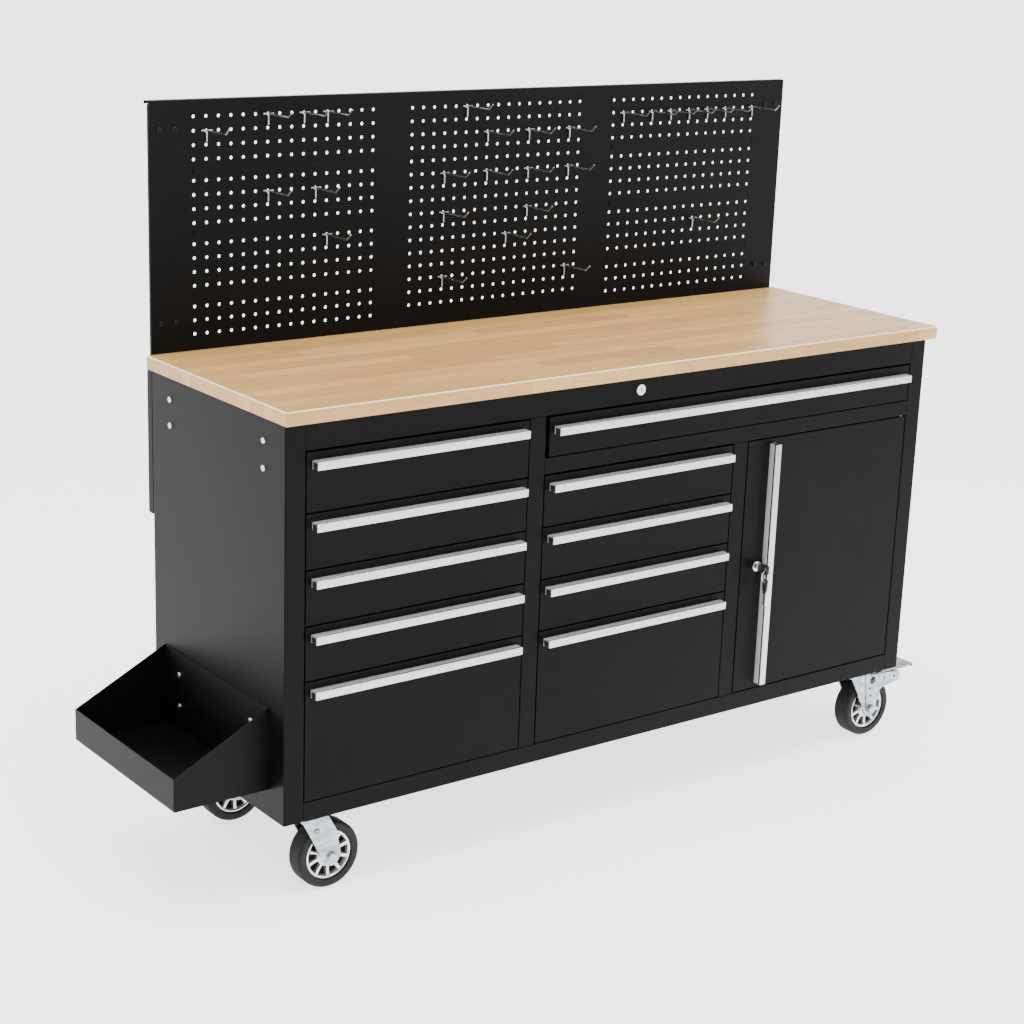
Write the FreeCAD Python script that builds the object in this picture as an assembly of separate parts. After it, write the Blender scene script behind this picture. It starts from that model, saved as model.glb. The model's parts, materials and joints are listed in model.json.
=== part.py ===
"""A mobile steel workbench: drawers and a cupboard under a wood top, a pegboard behind, a bin on one side.

Millimetres. While it is drawn, x runs along the cabinet from its left side, y from its front face to its
back, and z up from the cabinet's underside. At the end everything is moved so that the origin is the middle
of the footprint on the floor, and each sub-part is written to parts/NODE.step.
"""

import FreeCAD
import Part
import math
import os

Vec = FreeCAD.Vector

# ---- driving dimensions -------------------------------------------------------------------------------

CABINET_LENGTH = 1524.0
CABINET_DEPTH = 472.0
CABINET_HEIGHT = 722.0
SHEET = 1.2
THIN_SHEET = 0.8
BEND = 0.8

TOP_THICKNESS = 25.0
TOP_OVERHANG_SIDE = 10.0
TOP_OVERHANG_FRONT = 20.0
TOP_EDGE = 1.6

SIDE_STILE = 40.0
INNER_STILE = 36.0
TOP_RAIL = 51.0
BOTTOM_RAIL = 36.0
DRAWER_RAIL = 31.5
FRAME_RETURN = 30.0
REAR_POST_DEPTH = 60.0
REAR_RETURN = 20.0

LEFT_BANK = 468.0
MIDDLE_BANK = 464.0
LONG_DRAWER_SLOT = 78.0
TOP_DRAWER_SLOT = 109.5
SMALL_DRAWER_SLOT = 100.5
SMALL_DRAWERS = 3

FRONT_GAP = 1.25
SIDE_GAP = 2.0
FRONT_TOP_GAP = 3.0
LONG_LEFT_GAP = 8.5
FRONT_PAN = 16.0
BOX_DEPTH = 400.0
BOX_FLOOR_GAP = 9.0
BOX_TOP_GAP = 21.0
DRAWER_SHEET = 1.0
PRESSED_EDGE = 0.8

SLIDE_LENGTH = 400.0
SLIDE_WIDTH = 12.7
SLIDE_HEIGHT = 35.0
SLIDE_WALL = 1.2
SLIDE_START = 18.0
SLIDE_ABOVE_BOX_FLOOR = 2.0
SLIDE_OUTER_REACH = 9.0
SLIDE_MIDDLE_FROM_WALL = 4.6
SLIDE_MIDDLE_REACH = 10.0
SLIDE_MIDDLE_STEP = 4.3
SLIDE_INNER_REACH = 7.2
SLIDE_INNER_STEP = 9.0

HANDLE_PROJECTION = 18.5
HANDLE_LIP = 14.5
HANDLE_WALL = 2.2
HANDLE_LEG = 1.5
HANDLE_INSET = 11.0
HANDLE_DROP = 14.0
LONG_HANDLE_DROP = 17.5
HANDLE_CAP = 6.0
HANDLE_GROOVE_FROM_LIP = 1.4
HANDLE_GROOVE = 1.6
HANDLE_GROOVE_DEPTH = 0.9
HANDLE_CORNER = 0.8
HANDLE_TOP_CORNER = 0.6
DOOR_HANDLE_SETBACK = 57.0
DOOR_HANDLE_MARGIN = 10.0

LOCK_FLANGE_R = 10.5
LOCK_BARREL_R = 8.0
LOCK_PLUG_R = 5.5
LOCK_LENGTH = 22.0
LOCK_FLANGE = 2.5
LOCK_CLEARANCE = 0.05
LOCK_PLUG_PROUD = 0.4
LOCK_FLANGE_EDGE = 1.0
KEYWAY_WIDTH = 1.2
KEYWAY_HEIGHT = 8.0
KEYWAY_FROM_FACE = 4.0
KEYWAY_DEPTH = 14.0
CAM_BEHIND_BARREL = 1.0
CAM_SHEET = 2.0
CAM_BOSS_HALF = (6.0, 7.0)
CAM_ARM_HALF = 5.0
CAM_REACH = 18.0
DOOR_LOCK_SETBACK = 42.0
KEY_OUT = 3.0
KEY_BLADE = 1.0
KEY_BLADE_HEIGHT = 7.0
KEY_BLADE_END = 10.0
KEY_BOW = 4.0
KEY_BOW_OUTLINE = ((-30, -11), (-30, 11), (-8, 9), (0, 4), (0, -4), (-8, -9))
KEY_BOW_CORNERS = (6, 6, 4, 1, 1, 4)
KEY_RING_FROM_ROOT = 23.0
KEY_RING_R = 3.5
SPLIT_RING_R = 11.0
SPLIT_RING_WIRE_R = 0.9
SPLIT_RING_SLACK = 0.3
SPARE_KEY_WIDTH = 0.6
SPARE_KEY_BLADE = 24.0
DRAWER_LOCK_BELOW_TOP = 26.0

DOOR_HINGE_GAP = 2.5
HINGE_PIN_R = 2.5
HINGE_CLEARANCE = 0.05
HINGE_FROM_EDGE = 8.0
HINGE_BEHIND_FACE = 6.0
HINGE_PIN_REACH = 12.0
HINGE_HEAD_R = 3.9
HINGE_HEAD = 2.0
HINGE_HEAD_CLEARANCE = 0.3
HINGE_BUSH_R = 4.5
HINGE_BUSH = 8.0

SIDE_BOLT_FROM_FRONT = 70.0
SIDE_BOLT_FROM_BACK = 70.0
SIDE_BOLTS_BELOW_TOP = (43.0, 91.0)

TRAY_LENGTH = 380.0
TRAY_FRONT = 53.0
TRAY_BOTTOM = 51.0
TRAY_PROJECTION = 185.0
TRAY_BACK_HEIGHT = 153.0
TRAY_LIP_HEIGHT = 60.5
TRAY_SCREW_INSET = 58.0
TRAY_SCREWS_ABOVE_BOTTOM = (48.0, 110.0)

BOARD_ABOVE_TOP = 454.0
BOARD_TOP_FLANGE = 17.0
BOARD_TOP_LIP = 6.0
BOARD_SIDE_RETURN = 6.0
HOLE_PITCH = 25.4
HOLE_R = 3.175
HOLE_MARGIN = 88.9
HOLE_TOP_MARGIN = 30.0
SIDE_ZONE_COLUMNS = 16
SIDE_ZONE_ROWS = 15
MIDDLE_ZONE_ROWS = 16
ROWS_PER_BAND = 4
BAND_EXTRA = 12.7
BAND_HEIGHT = 10.0
BAND_RAISE = 0.7
BAND_SLOT_WIDTH = 3.0
BAND_SLOT_GAP = 2.0
BAND_SLOT_HALF_HEIGHT = 6.0
BAND_SLOT_DEPTH = 0.8
BOARD_BEND_BELOW_TOP = 6.0

UPRIGHT_WIDTH = 50.0
UPRIGHT_INSET = 12.0
UPRIGHT_DEPTH = 16.0
UPRIGHT_ABOVE_LEG = 113.0
LEG_WIDTH = 64.0
LEG_DEPTH = 20.0
LEG_BOTTOM = 447.0
LEG_FLANGE = 9.0
LEG_BELOW_TOP = 6.0
BOARD_BOLTS_FROM_TOP = (51.0, 399.0)
BOARD_BOLTS_FROM_INSET = (9.0, 39.0)
LEG_BOLTS_ABOVE_LEG = (60.0, 240.0)

HOOK_WIRE_R = 1.5
HOOK_BAR = 22.0
HOOK_STEM = 20.0
HOOK_ARM = 70.0
HOOK_TIP_OUT = 13.0
HOOK_TIP_UP = 11.0
HOOK_PRONG_UP = 9.0
HOOK_CLEARANCE = 0.1
HOOK_PRONG_CLEARANCE = 0.6
LEFT_HOOKS = ((1, 1), (6, 0), (9, 0), (11, 0), (6, 5), (10, 5), (11, 8))
MIDDLE_HOOKS = (
    (5, 0), (7, 2), (11, 2), (15, 2), (3, 5), (7, 5), (11, 5),
    (15, 5), (3, 8), (11, 8), (9, 10), (3, 13), (15, 13),
)
RIGHT_HOOKS = ((1, 1), (4, 1), (6, 1), (8, 1), (10, 1), (12, 1), (15, 1), (9, 9))

WHEEL_R = 63.5
WHEEL_WIDTH = 40.0
RIM_R = 47.0
RIM_WIDTH = 34.0
RIM_RING = 5.0
RIM_WEB = 8.0
RIM_HUB_R = 13.0
RIM_HUB_WIDTH = 45.0
RIM_SPOKES = 10
SPOKE_HALF = 3.2
WINDOW_FROM_HUB = 5.0
WINDOW_FROM_RING = 1.5
WINDOW_CORNERS = (1.2, 3, 3, 1.2)
TYRE_SHOULDER = 7.0
TYRE_BEAD = 2.0
CASTER_HEIGHT = 158.0
CASTER_TRAIL = 34.0
CASTER_FROM_SIDE = 80.0
CASTER_FROM_FRONT = 51.0
CASTER_ROW_SPACING = 337.0
CASTER_PLATE_X = 100.0
CASTER_PLATE_Y = 78.0
CASTER_PLATE = 4.0
CASTER_BOLTS_X = 62.0
CASTER_BOLTS_Y = 58.0
CASTER_PLATE_CORNER = 8.0
PLATE_BOLT_R = 4.0
PLATE_BOLT_CLEARANCE = 0.2
PLATE_BOLT_REACH = 8.0
PLATE_BOLT_ACROSS = 13.0
PLATE_BOLT_HEAD = 5.0
PLATE_BOLT_NUT = 6.0
RACE_R = 26.0
RACE_HEIGHT = 10.0
RACE_GAP = 0.3
KINGPIN_R = 6.0
KINGPIN_REACH = 3.0
KINGPIN_HEAD_R = 10.0
KINGPIN_HEAD = 2.0
KINGPIN_CLEARANCE = 0.05
FORK_SHEET = 3.5
FORK_WIDTH = 54.0
FORK_INNER = 47.0
AXLE_R = 5.0
AXLE_CLEARANCE = 0.05
AXLE_HEAD_R = 9.0
AXLE_HEAD = 7.0
AXLE_HEAD_EDGE = 2.5
AXLE_NUT_ACROSS = 15.0

# Fork leg, seen from the side: a knee out and down from the crown's front edge, then points round the axle.
FORK_KNEE = (17.0, -30.0)
FORK_ROUND_AXLE = ((20.0, 0.0), (8.0, -19.0), (-12.0, -16.0))
FORK_HEEL = (2.0, -4.0)
FORK_CORNERS = (0, 0, 12, 14, 12, 14, 0)

BRAKE_SHEET = 2.0
BRAKE_REACH = 116.0
PEDAL_REACH = 160.0
PEDAL_PIVOT_X = 56.0
PEDAL_PIVOT_Z = -27.0
PEDAL_PIN_R = 2.5
PEDAL_CLEARANCE = 0.05
PEDAL_SHEET = 2.0
PEDAL_SIDE_GAP = 0.7
PEDAL_PIN_PROUD = 1.5

# Brake bracket and pedal, seen from the side: x from the kingpin or the axle,
# and z from the fork's top or the axle.
BRACKET_FRONT = ((12.0, -1.0), (BRAKE_REACH, -9.0), (BRAKE_REACH, -29.0), (58.0, -38.0))
BRACKET_ROUND_AXLE = ((14.0, 4.0), (0.0, -13.0), (-13.0, 6.0))
BRACKET_BACK = (16.0, -26.0)
BRACKET_CORNERS = (0, 3, 3, 14, 10, 12, 10, 12)
BRACKET_HOLES = ((70.0, -16.0), (100.0, -18.0))
BRACKET_HOLE_R = 2.4
CHEEK_ROUND_PIVOT = ((-6.0, 4.0), (0.0, 8.0))
CHEEK_FRONT = ((BRAKE_REACH, -7.0), (BRAKE_REACH, -18.0), (92.0, -26.0))
CHEEK_UNDER_PIVOT = (0.0, -6.0)
CHEEK_CORNERS = (3, 5, 0, 3, 4, 5)
TREAD_OUTLINE = ((PEDAL_REACH - 3, -8.0), (PEDAL_REACH, 1.0), (BRAKE_REACH - 2, -5.0), (76.0, -7.0))
TREAD_BEND = 1.0
TREAD_BACK = 70.0
TREAD_FRONT = BRAKE_REACH + 3
SHOE_X = 84.0
SHOE_SHEET = 4.0
SHOE_LOW = -30.0
SHOE_HIGH = -6.0

# ---- sizes that follow --------------------------------------------------------------------------------

L = CABINET_LENGTH
D = CABINET_DEPTH
H = CABINET_HEIGHT
LEFT_0 = SIDE_STILE
LEFT_1 = LEFT_0 + LEFT_BANK
MIDDLE_0 = LEFT_1 + INNER_STILE
MIDDLE_1 = MIDDLE_0 + MIDDLE_BANK
DOOR_0 = MIDDLE_1 + INNER_STILE
DOOR_1 = L - SIDE_STILE
RAIL_Z = H - TOP_RAIL
LONG_Z = RAIL_Z - LONG_DRAWER_SLOT
DECK_Z = LONG_Z - DRAWER_RAIL
BACK_INNER = D - 2 * SHEET
POST_WEB = BACK_INNER - SHEET
POST_FRONT = D - REAR_POST_DEPTH
TOP_Z = H + TOP_THICKNESS
BOARD_TOP = TOP_Z + BOARD_ABOVE_TOP
BOARD_BACK = D + SHEET
CASTER_XS = {"left": CASTER_FROM_SIDE, "right": L - CASTER_FROM_SIDE}
CASTER_YS = {"front": CASTER_FROM_FRONT, "rear": CASTER_FROM_FRONT + CASTER_ROW_SPACING}
AXLE_Z = WHEEL_R - CASTER_HEIGHT
FORK_TOP = -CASTER_PLATE - RACE_HEIGHT

AXES = {"x": Vec(1, 0, 0), "y": Vec(0, 1, 0), "z": Vec(0, 0, 1)}


# ---- drawing helpers ----------------------------------------------------------------------------------

def block(x0, x1, y0, y1, z0, z1):
    return Part.makeBox(x1 - x0, y1 - y0, z1 - z0, Vec(x0, y0, z0))


def rod(x, y, z, axis, radius, length):
    return Part.makeCylinder(radius, length, Vec(x, y, z), AXES[axis])


def ring(x, y, z, axis, outer, inner, length):
    return rod(x, y, z, axis, outer, length).cut(rod(x, y, z, axis, inner, length))


def in_xy(z):
    return lambda u, v: Vec(u, v, z)


def in_yz(x):
    return lambda u, v: Vec(x, u, v)


def in_xz(y):
    return lambda u, v: Vec(u, y, v)


def rounded_wire(points, radii, place):
    """Closed wire through the corner points, each corner rounded by an arc of its own radius."""
    starts = []
    middles = []
    ends = []
    for index, (u, v) in enumerate(points):
        back = points[index - 1]
        ahead = points[(index + 1) % len(points)]
        a = Vec(u - back[0], v - back[1], 0).normalize()
        b = Vec(ahead[0] - u, ahead[1] - v, 0).normalize()
        half = a.getAngle(b) / 2
        radius = radii[index]
        corner = Vec(u, v, 0)
        reach = radius * math.tan(half)
        starts.append(corner - a * reach)
        ends.append(corner + b * reach)
        inward = (b - a) * (radius * (1 / math.cos(half) - 1) / max((b - a).Length, 1e-9))
        middles.append(corner + inward)
    edges = []
    for index, radius in enumerate(radii):
        start, middle, end = starts[index], middles[index], ends[index]
        if radius > 0:
            arc = Part.Arc(place(start.x, start.y), place(middle.x, middle.y), place(end.x, end.y))
            edges.append(arc.toShape())
        following = starts[(index + 1) % len(points)]
        if (following - end).Length > 1e-6:
            edges.append(Part.makeLine(place(end.x, end.y), place(following.x, following.y)))
    return Part.Wire(edges)


def prism(points, place, along, radii=None):
    wire = rounded_wire(points, radii or [0] * len(points), place)
    return Part.Face(wire).extrude(along)


def folded(path, thickness, place, along, bend=BEND):
    """Bent sheet: the path is one face, and the other lies one thickness to the left of the way it runs."""
    count = len(path)
    normals = []
    for (u0, v0), (u1, v1) in zip(path, path[1:]):
        run = math.hypot(u1 - u0, v1 - v0)
        normals.append(((v0 - v1) / run, (u1 - u0) / run))
    other = []
    outer_radii = [0] * count
    inner_radii = [0] * count
    for index, (u, v) in enumerate(path):
        before = normals[max(index - 1, 0)]
        after = normals[min(index, count - 2)]
        scale = thickness / (1 + before[0] * after[0] + before[1] * after[1])
        other.append((u + (before[0] + after[0]) * scale, v + (before[1] + after[1]) * scale))
        if 0 < index < count - 1:
            left_turn = before[0] * after[1] - before[1] * after[0] > 0
            outer_radii[index] = bend + thickness if left_turn else bend
            inner_radii[index] = bend if left_turn else bend + thickness
    points = list(path) + other[::-1]
    return prism(points, place, along, outer_radii + inner_radii[::-1])


def offset(points, u0, v0):
    return [(u0 + u, v0 + v) for u, v in points]


def hexagon(centre, axis, across, height):
    """Hexagonal nut or head standing on its centre point, along an axis."""
    corner_r = across / math.sqrt(3)
    corners = []
    for k in range(7):
        angle = math.radians(60 * k)
        corners.append(Vec(corner_r * math.cos(angle), corner_r * math.sin(angle), 0))
    solid = Part.Face(Part.makePolygon(corners)).extrude(Vec(0, 0, height))
    solid.Placement = FreeCAD.Placement(centre, FreeCAD.Rotation(Vec(0, 0, 1), axis))
    return solid


def mirrored(shape):
    """The same piece at the cabinet's other end."""
    return shape.mirror(Vec(L / 2, 0, 0), Vec(1, 0, 0))


def both_ends(shapes):
    return shapes + [mirrored(shape) for shape in shapes]


def drilled(shape, holes):
    return shape.cut(Part.Compound(holes)) if holes else shape


def fused(first, *others):
    return first.fuse(list(others)).removeSplitter()


nodes = {}


def add(name, *solids):
    nodes[name] = list(solids)


# ---- fasteners: one list says where each screw stands, and the sheets take their holes from it ----------

SCREW_R = 3.0
SCREW_HOLE_R = 3.2
SCREW_HEAD_R = 5.5
SCREW_HEAD = 3.0
SCREW_HEAD_EDGE = 1.8
SCREW_END = 2.0
CROSS_SPAN = 6.4
CROSS_WIDTH = 1.3
CROSS_DEPTH = 1.6
NUT_ACROSS = 10.0
NUT = 4.0


def screw(x, y, z, axis, grip):
    """Cross-head screw under its head at the point, its shank running along the axis through the grip."""
    start = Vec(x, y, z)
    direction = AXES[axis[1]] * (1 if axis[0] == "+" else -1)
    head = Part.makeCylinder(SCREW_HEAD_R, SCREW_HEAD, start - direction * SCREW_HEAD, direction)
    rim = [e for e in head.Edges if (e.CenterOfMass - (start - direction * SCREW_HEAD)).Length < 0.01]
    head = head.makeFillet(SCREW_HEAD_EDGE, rim[:1])
    shank = Part.makeCylinder(SCREW_R, grip + NUT + SCREW_END, start, direction)
    across = Vec(direction.y, direction.z, direction.x)
    slot = Part.makeBox(CROSS_SPAN, CROSS_WIDTH, CROSS_DEPTH, Vec(-CROSS_SPAN / 2, -CROSS_WIDTH / 2, 0))
    other = Part.makeBox(CROSS_WIDTH, CROSS_SPAN, CROSS_DEPTH, Vec(-CROSS_WIDTH / 2, -CROSS_SPAN / 2, 0))
    cross = slot.fuse(other)
    turn = FreeCAD.Rotation(across, direction.cross(across), direction, "ZXY")
    cross.Placement = FreeCAD.Placement(start - direction * SCREW_HEAD, turn)
    body = head.fuse(shank).cut(cross)
    nut = hexagon(start + direction * grip, direction, NUT_ACROSS, NUT)
    return body, nut.cut(shank)


def screw_hole(x, y, z, axis, grip):
    direction = AXES[axis[1]] * (1 if axis[0] == "+" else -1)
    start = Vec(x, y, z) - direction
    return Part.makeCylinder(SCREW_HOLE_R, grip + 2, start, direction)


side_screws = []
for screw_y in (SIDE_BOLT_FROM_FRONT, D - SIDE_BOLT_FROM_BACK):
    for below in SIDE_BOLTS_BELOW_TOP:
        side_screws.append((0, screw_y, H - below, "+x", SHEET))

tray_screws = []
for screw_y in (TRAY_FRONT + TRAY_SCREW_INSET, TRAY_FRONT + TRAY_LENGTH - TRAY_SCREW_INSET):
    for above in TRAY_SCREWS_ABOVE_BOTTOM:
        tray_screws.append((-SHEET, screw_y, TRAY_BOTTOM + above, "+x", 2 * SHEET))

board_screws = []
for below in BOARD_BOLTS_FROM_TOP:
    for from_inset in BOARD_BOLTS_FROM_INSET:
        board_screws.append((UPRIGHT_INSET + from_inset, D, BOARD_TOP - below, "+y", 2 * SHEET))

leg_screws = []
for above in LEG_BOLTS_ABOVE_LEG:
    leg_screws.append((LEG_WIDTH / 2, D + LEG_DEPTH, LEG_BOTTOM + above, "-y", LEG_DEPTH + D - POST_WEB))


# ---- cabinet ------------------------------------------------------------------------------------------

def side_panel():
    """Side sheet folded round the front as a stile, with a lip inside, and a return at the back."""
    path = [(REAR_RETURN, D), (0, D), (0, 0), (SIDE_STILE, 0), (SIDE_STILE, FRAME_RETURN)]
    return folded(path, SHEET, in_xy(0), Vec(0, 0, H))


def channel_stile(x0, x1, z0, z1):
    path = [(x0, FRAME_RETURN), (x0, 0), (x1, 0), (x1, FRAME_RETURN)]
    return folded(path, SHEET, in_xy(z0), Vec(0, 0, z1 - z0))


def channel_rail(x0, x1, z0, z1):
    path = [(FRAME_RETURN, z1), (0, z1), (0, z0), (FRAME_RETURN, z0)]
    return folded(path, SHEET, in_yz(x0), Vec(x1 - x0, 0, 0))


def rear_post(x0, x1, z1):
    path = [(x1, POST_FRONT), (x1, BACK_INNER), (x0, BACK_INNER), (x0, POST_FRONT)]
    return folded(path, SHEET, in_xy(SHEET), Vec(0, 0, z1 - SHEET))


leg_holes = [screw_hole(*place) for place in leg_screws]
leg_holes = both_ends(leg_holes)

left_holes = [screw_hole(*place) for place in side_screws + tray_screws]
add("side_panel_left", drilled(side_panel(), left_holes))
right_holes = [mirrored(screw_hole(*place)) for place in side_screws]
add("side_panel_right", drilled(mirrored(side_panel()), right_holes))

back_panel = block(SHEET + BEND, L - SHEET - BEND, BACK_INNER, BACK_INNER + SHEET, 0, H)
add("back_panel", drilled(back_panel, leg_holes))

plate_holes = []
for centre_x in CASTER_XS.values():
    for centre_y in CASTER_YS.values():
        for side_x in (-1, 1):
            for side_y in (-1, 1):
                hole_x = centre_x + side_x * CASTER_BOLTS_X / 2
                hole_y = centre_y + side_y * CASTER_BOLTS_Y / 2
                plate_holes.append((hole_x, hole_y))

floor_panel = block(SHEET, L - SHEET, SHEET, BACK_INNER, 0, SHEET)
corner_notch = block(0, SIDE_STILE, 0, FRAME_RETURN, -1, SHEET + 1)
floor_panel = floor_panel.cut(corner_notch).cut(mirrored(corner_notch))
floor_bore_r = PLATE_BOLT_R + PLATE_BOLT_CLEARANCE
bolt_bores = []
for x, y in plate_holes:
    bolt_bores.append(rod(x, y, -CASTER_PLATE - 1, "z", floor_bore_r, CASTER_PLATE + SHEET + 2))
add("floor_panel", drilled(floor_panel, bolt_bores))

lock_x = L / 2
lock_z = H - DRAWER_LOCK_BELOW_TOP
top_rail = channel_rail(LEFT_0, DOOR_1, RAIL_Z, H)
top_rail = top_rail.cut(rod(lock_x, -1, lock_z, "y", LOCK_BARREL_R, SHEET + 2))
bottom_rail = folded(
    [(FRAME_RETURN, BOTTOM_RAIL), (0, BOTTOM_RAIL), (0, 0)],
    SHEET, in_yz(LEFT_0), Vec(DOOR_1 - LEFT_0, 0, 0),
)

door_x1 = DOOR_1 - DOOR_HINGE_GAP
hinge_x = door_x1 - HINGE_FROM_EDGE
hinge_y = HINGE_BEHIND_FACE
drawer_rail = channel_rail(MIDDLE_0, DOOR_1, DECK_Z, LONG_Z)
drawer_rail = drawer_rail.cut(rod(hinge_x, hinge_y, DECK_Z - 1, "z", HINGE_PIN_R, SHEET + 2))
bottom_rail = bottom_rail.cut(rod(hinge_x, hinge_y, BOTTOM_RAIL - SHEET - 1, "z", HINGE_PIN_R, SHEET + 2))

middle_stile = channel_stile(LEFT_1, MIDDLE_0, BOTTOM_RAIL, RAIL_Z)
right_stile = channel_stile(MIDDLE_1, DOOR_0, BOTTOM_RAIL, DECK_Z)
left_post = rear_post(SHEET, LEFT_0, H)
add(
    "cabinet_frame",
    top_rail,
    bottom_rail,
    drawer_rail,
    middle_stile,
    right_stile,
    drilled(left_post, leg_holes),
    drilled(mirrored(left_post), leg_holes),
    rear_post(LEFT_1, MIDDLE_0, RAIL_Z),
    rear_post(MIDDLE_1, DOOR_0, DECK_Z),
)

wall_left = MIDDLE_0 - SHEET
wall_right = DOOR_0 - SHEET
wall_y0 = SHEET + BEND
wall_y1 = POST_WEB - BEND
add(
    "inner_partitions",
    block(wall_left - THIN_SHEET, wall_left, wall_y0, wall_y1, BOTTOM_RAIL, RAIL_Z),
    block(wall_right - THIN_SHEET, wall_right, wall_y0, wall_y1, BOTTOM_RAIL, DECK_Z),
    block(MIDDLE_0, DOOR_1, wall_y0, BACK_INNER, DECK_Z + SHEET, DECK_Z + SHEET + THIN_SHEET),
)


# ---- worktop ------------------------------------------------------------------------------------------

worktop = block(-TOP_OVERHANG_SIDE, L + TOP_OVERHANG_SIDE, -TOP_OVERHANG_FRONT, D, H, TOP_Z)
sharp = [e for e in worktop.Edges if e.BoundBox.YMin < D - 1 or e.BoundBox.ZMax > TOP_Z - 1]
add("worktop", worktop.makeFillet(TOP_EDGE, sharp))


# ---- drawers ------------------------------------------------------------------------------------------

def slide_part(wall, side, inner, outer, half):
    """C-shaped slide member: its web is at `inner` from the wall, and its lips reach to `outer`."""
    step = 1 if outer > inner else -1
    u_web = wall + side * inner
    u_lip = wall + side * outer
    u_face = wall + side * (inner + step * SLIDE_WALL)
    y0 = SLIDE_START
    web = block(min(u_web, u_face), max(u_web, u_face), y0, y0 + SLIDE_LENGTH, -half, half)
    pieces = []
    for sign in (-1, 1):
        z_out = sign * half
        z_in = sign * (half - SLIDE_WALL)
        pieces.append(
            block(
                min(u_web, u_lip), max(u_web, u_lip), y0, y0 + SLIDE_LENGTH,
                min(z_in, z_out), max(z_in, z_out),
            )
        )
    return fused(web, *pieces)


def handle_bar(width):
    """Channel-shaped pull along x from 0: a top flange, a front lip and a leg on the drawer's face."""
    path = [
        (-HANDLE_LEG, -HANDLE_LIP),
        (-HANDLE_LEG, -HANDLE_WALL),
        (-HANDLE_PROJECTION + HANDLE_WALL, -HANDLE_WALL),
        (-HANDLE_PROJECTION + HANDLE_WALL, -HANDLE_LIP),
        (-HANDLE_PROJECTION, -HANDLE_LIP),
        (-HANDLE_PROJECTION, 0),
        (0, 0),
        (0, -HANDLE_LIP),
    ]
    radii = [0, 0, 0, HANDLE_CORNER, HANDLE_CORNER, HANDLE_TOP_CORNER, 0, 0]
    bar = prism(path, in_yz(0), Vec(width, 0, 0), radii)
    groove_y0 = -HANDLE_PROJECTION + HANDLE_WALL + HANDLE_GROOVE_FROM_LIP - HANDLE_GROOVE / 2
    bar = bar.cut(block(-1, width + 1, groove_y0, groove_y0 + HANDLE_GROOVE, -HANDLE_GROOVE_DEPTH, 1))
    caps = []
    for x0 in (0, width - HANDLE_CAP):
        caps.append(
            block(
                x0, x0 + HANDLE_CAP, -HANDLE_PROJECTION + HANDLE_WALL, -HANDLE_LEG,
                -HANDLE_LIP, -HANDLE_WALL,
            )
        )
    return [bar] + caps


def moved(shape, x, y, z):
    shape = shape.copy()
    shape.translate(Vec(x, y, z))
    return shape


cabinet_slides = []


def drawer(name, x0, x1, z0, z1, left_gap, top_gap, drop):
    """One drawer in its opening: front pan, inner panel, a box of welded panels, its slides and its handle."""
    front_x0 = x0 + left_gap
    front_x1 = x1 - SIDE_GAP
    front_z0 = z0 + FRONT_GAP
    front_z1 = z1 - top_gap
    wall = DRAWER_SHEET
    pan = block(front_x0, front_x1, 0, FRONT_PAN, front_z0, front_z1)
    front_edges = [e for e in pan.Edges if e.BoundBox.YMax < 0.01]
    pan = pan.makeFillet(PRESSED_EDGE, front_edges)
    hollow = block(front_x0 + wall, front_x1 - wall, wall, FRONT_PAN + 1, front_z0 + wall, front_z1 - wall)
    pan = pan.cut(hollow)
    inner_y = FRONT_PAN - wall
    inner = block(front_x0 + wall, front_x1 - wall, inner_y, FRONT_PAN, front_z0 + wall, front_z1 - wall)

    box_x0 = x0 + SLIDE_WIDTH
    box_x1 = x1 - SLIDE_WIDTH
    box_z0 = z0 + BOX_FLOOR_GAP
    box_z1 = z1 - BOX_TOP_GAP
    box_y1 = FRONT_PAN + BOX_DEPTH
    space_z0 = box_z0 + wall
    box = [
        block(box_x0, box_x1, FRONT_PAN, box_y1, box_z0, space_z0),
        block(box_x0, box_x0 + wall, FRONT_PAN, box_y1, space_z0, box_z1),
        block(box_x1 - wall, box_x1, FRONT_PAN, box_y1, space_z0, box_z1),
        block(box_x0 + wall, box_x1 - wall, FRONT_PAN, FRONT_PAN + wall, space_z0, box_z1),
        block(box_x0 + wall, box_x1 - wall, box_y1 - wall, box_y1, space_z0, box_z1),
    ]

    slide_z = box_z0 + SLIDE_ABOVE_BOX_FLOOR + SLIDE_HEIGHT / 2
    half = SLIDE_HEIGHT / 2
    inner_members = []
    middle_members = []
    for face, side in ((x0, 1), (x1, -1)):
        outer_member = slide_part(face, side, 0, SLIDE_OUTER_REACH, half)
        cabinet_slides.append(moved(outer_member, 0, 0, slide_z))
        middle_half = half - SLIDE_MIDDLE_STEP
        middle = slide_part(face, side, SLIDE_MIDDLE_FROM_WALL, SLIDE_MIDDLE_REACH, middle_half)
        middle_members.append(moved(middle, 0, 0, slide_z))
        inner_member = slide_part(face, side, SLIDE_WIDTH, SLIDE_INNER_REACH, half - SLIDE_INNER_STEP)
        inner_members.append(moved(inner_member, 0, 0, slide_z))
    add("drawer_" + name, pan, inner, *box, *inner_members)
    add("slide_middle_" + name, *middle_members)
    pieces = handle_bar(front_x1 - front_x0 - 2 * HANDLE_INSET)
    add("handle_" + name, *[moved(p, front_x0 + HANDLE_INSET, 0, front_z1 - drop) for p in pieces])


def bank(label, x0, x1, top, slots):
    """A column of drawers from the top down; the last one takes the height that is left."""
    z1 = top
    for number, height in enumerate(slots + [None], start=1):
        z0 = BOTTOM_RAIL if height is None else z1 - height
        top_gap = FRONT_TOP_GAP if number == 1 else FRONT_GAP
        drawer(label + "_" + str(number), x0, x1, z0, z1, SIDE_GAP, top_gap, HANDLE_DROP)
        z1 = z0


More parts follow.
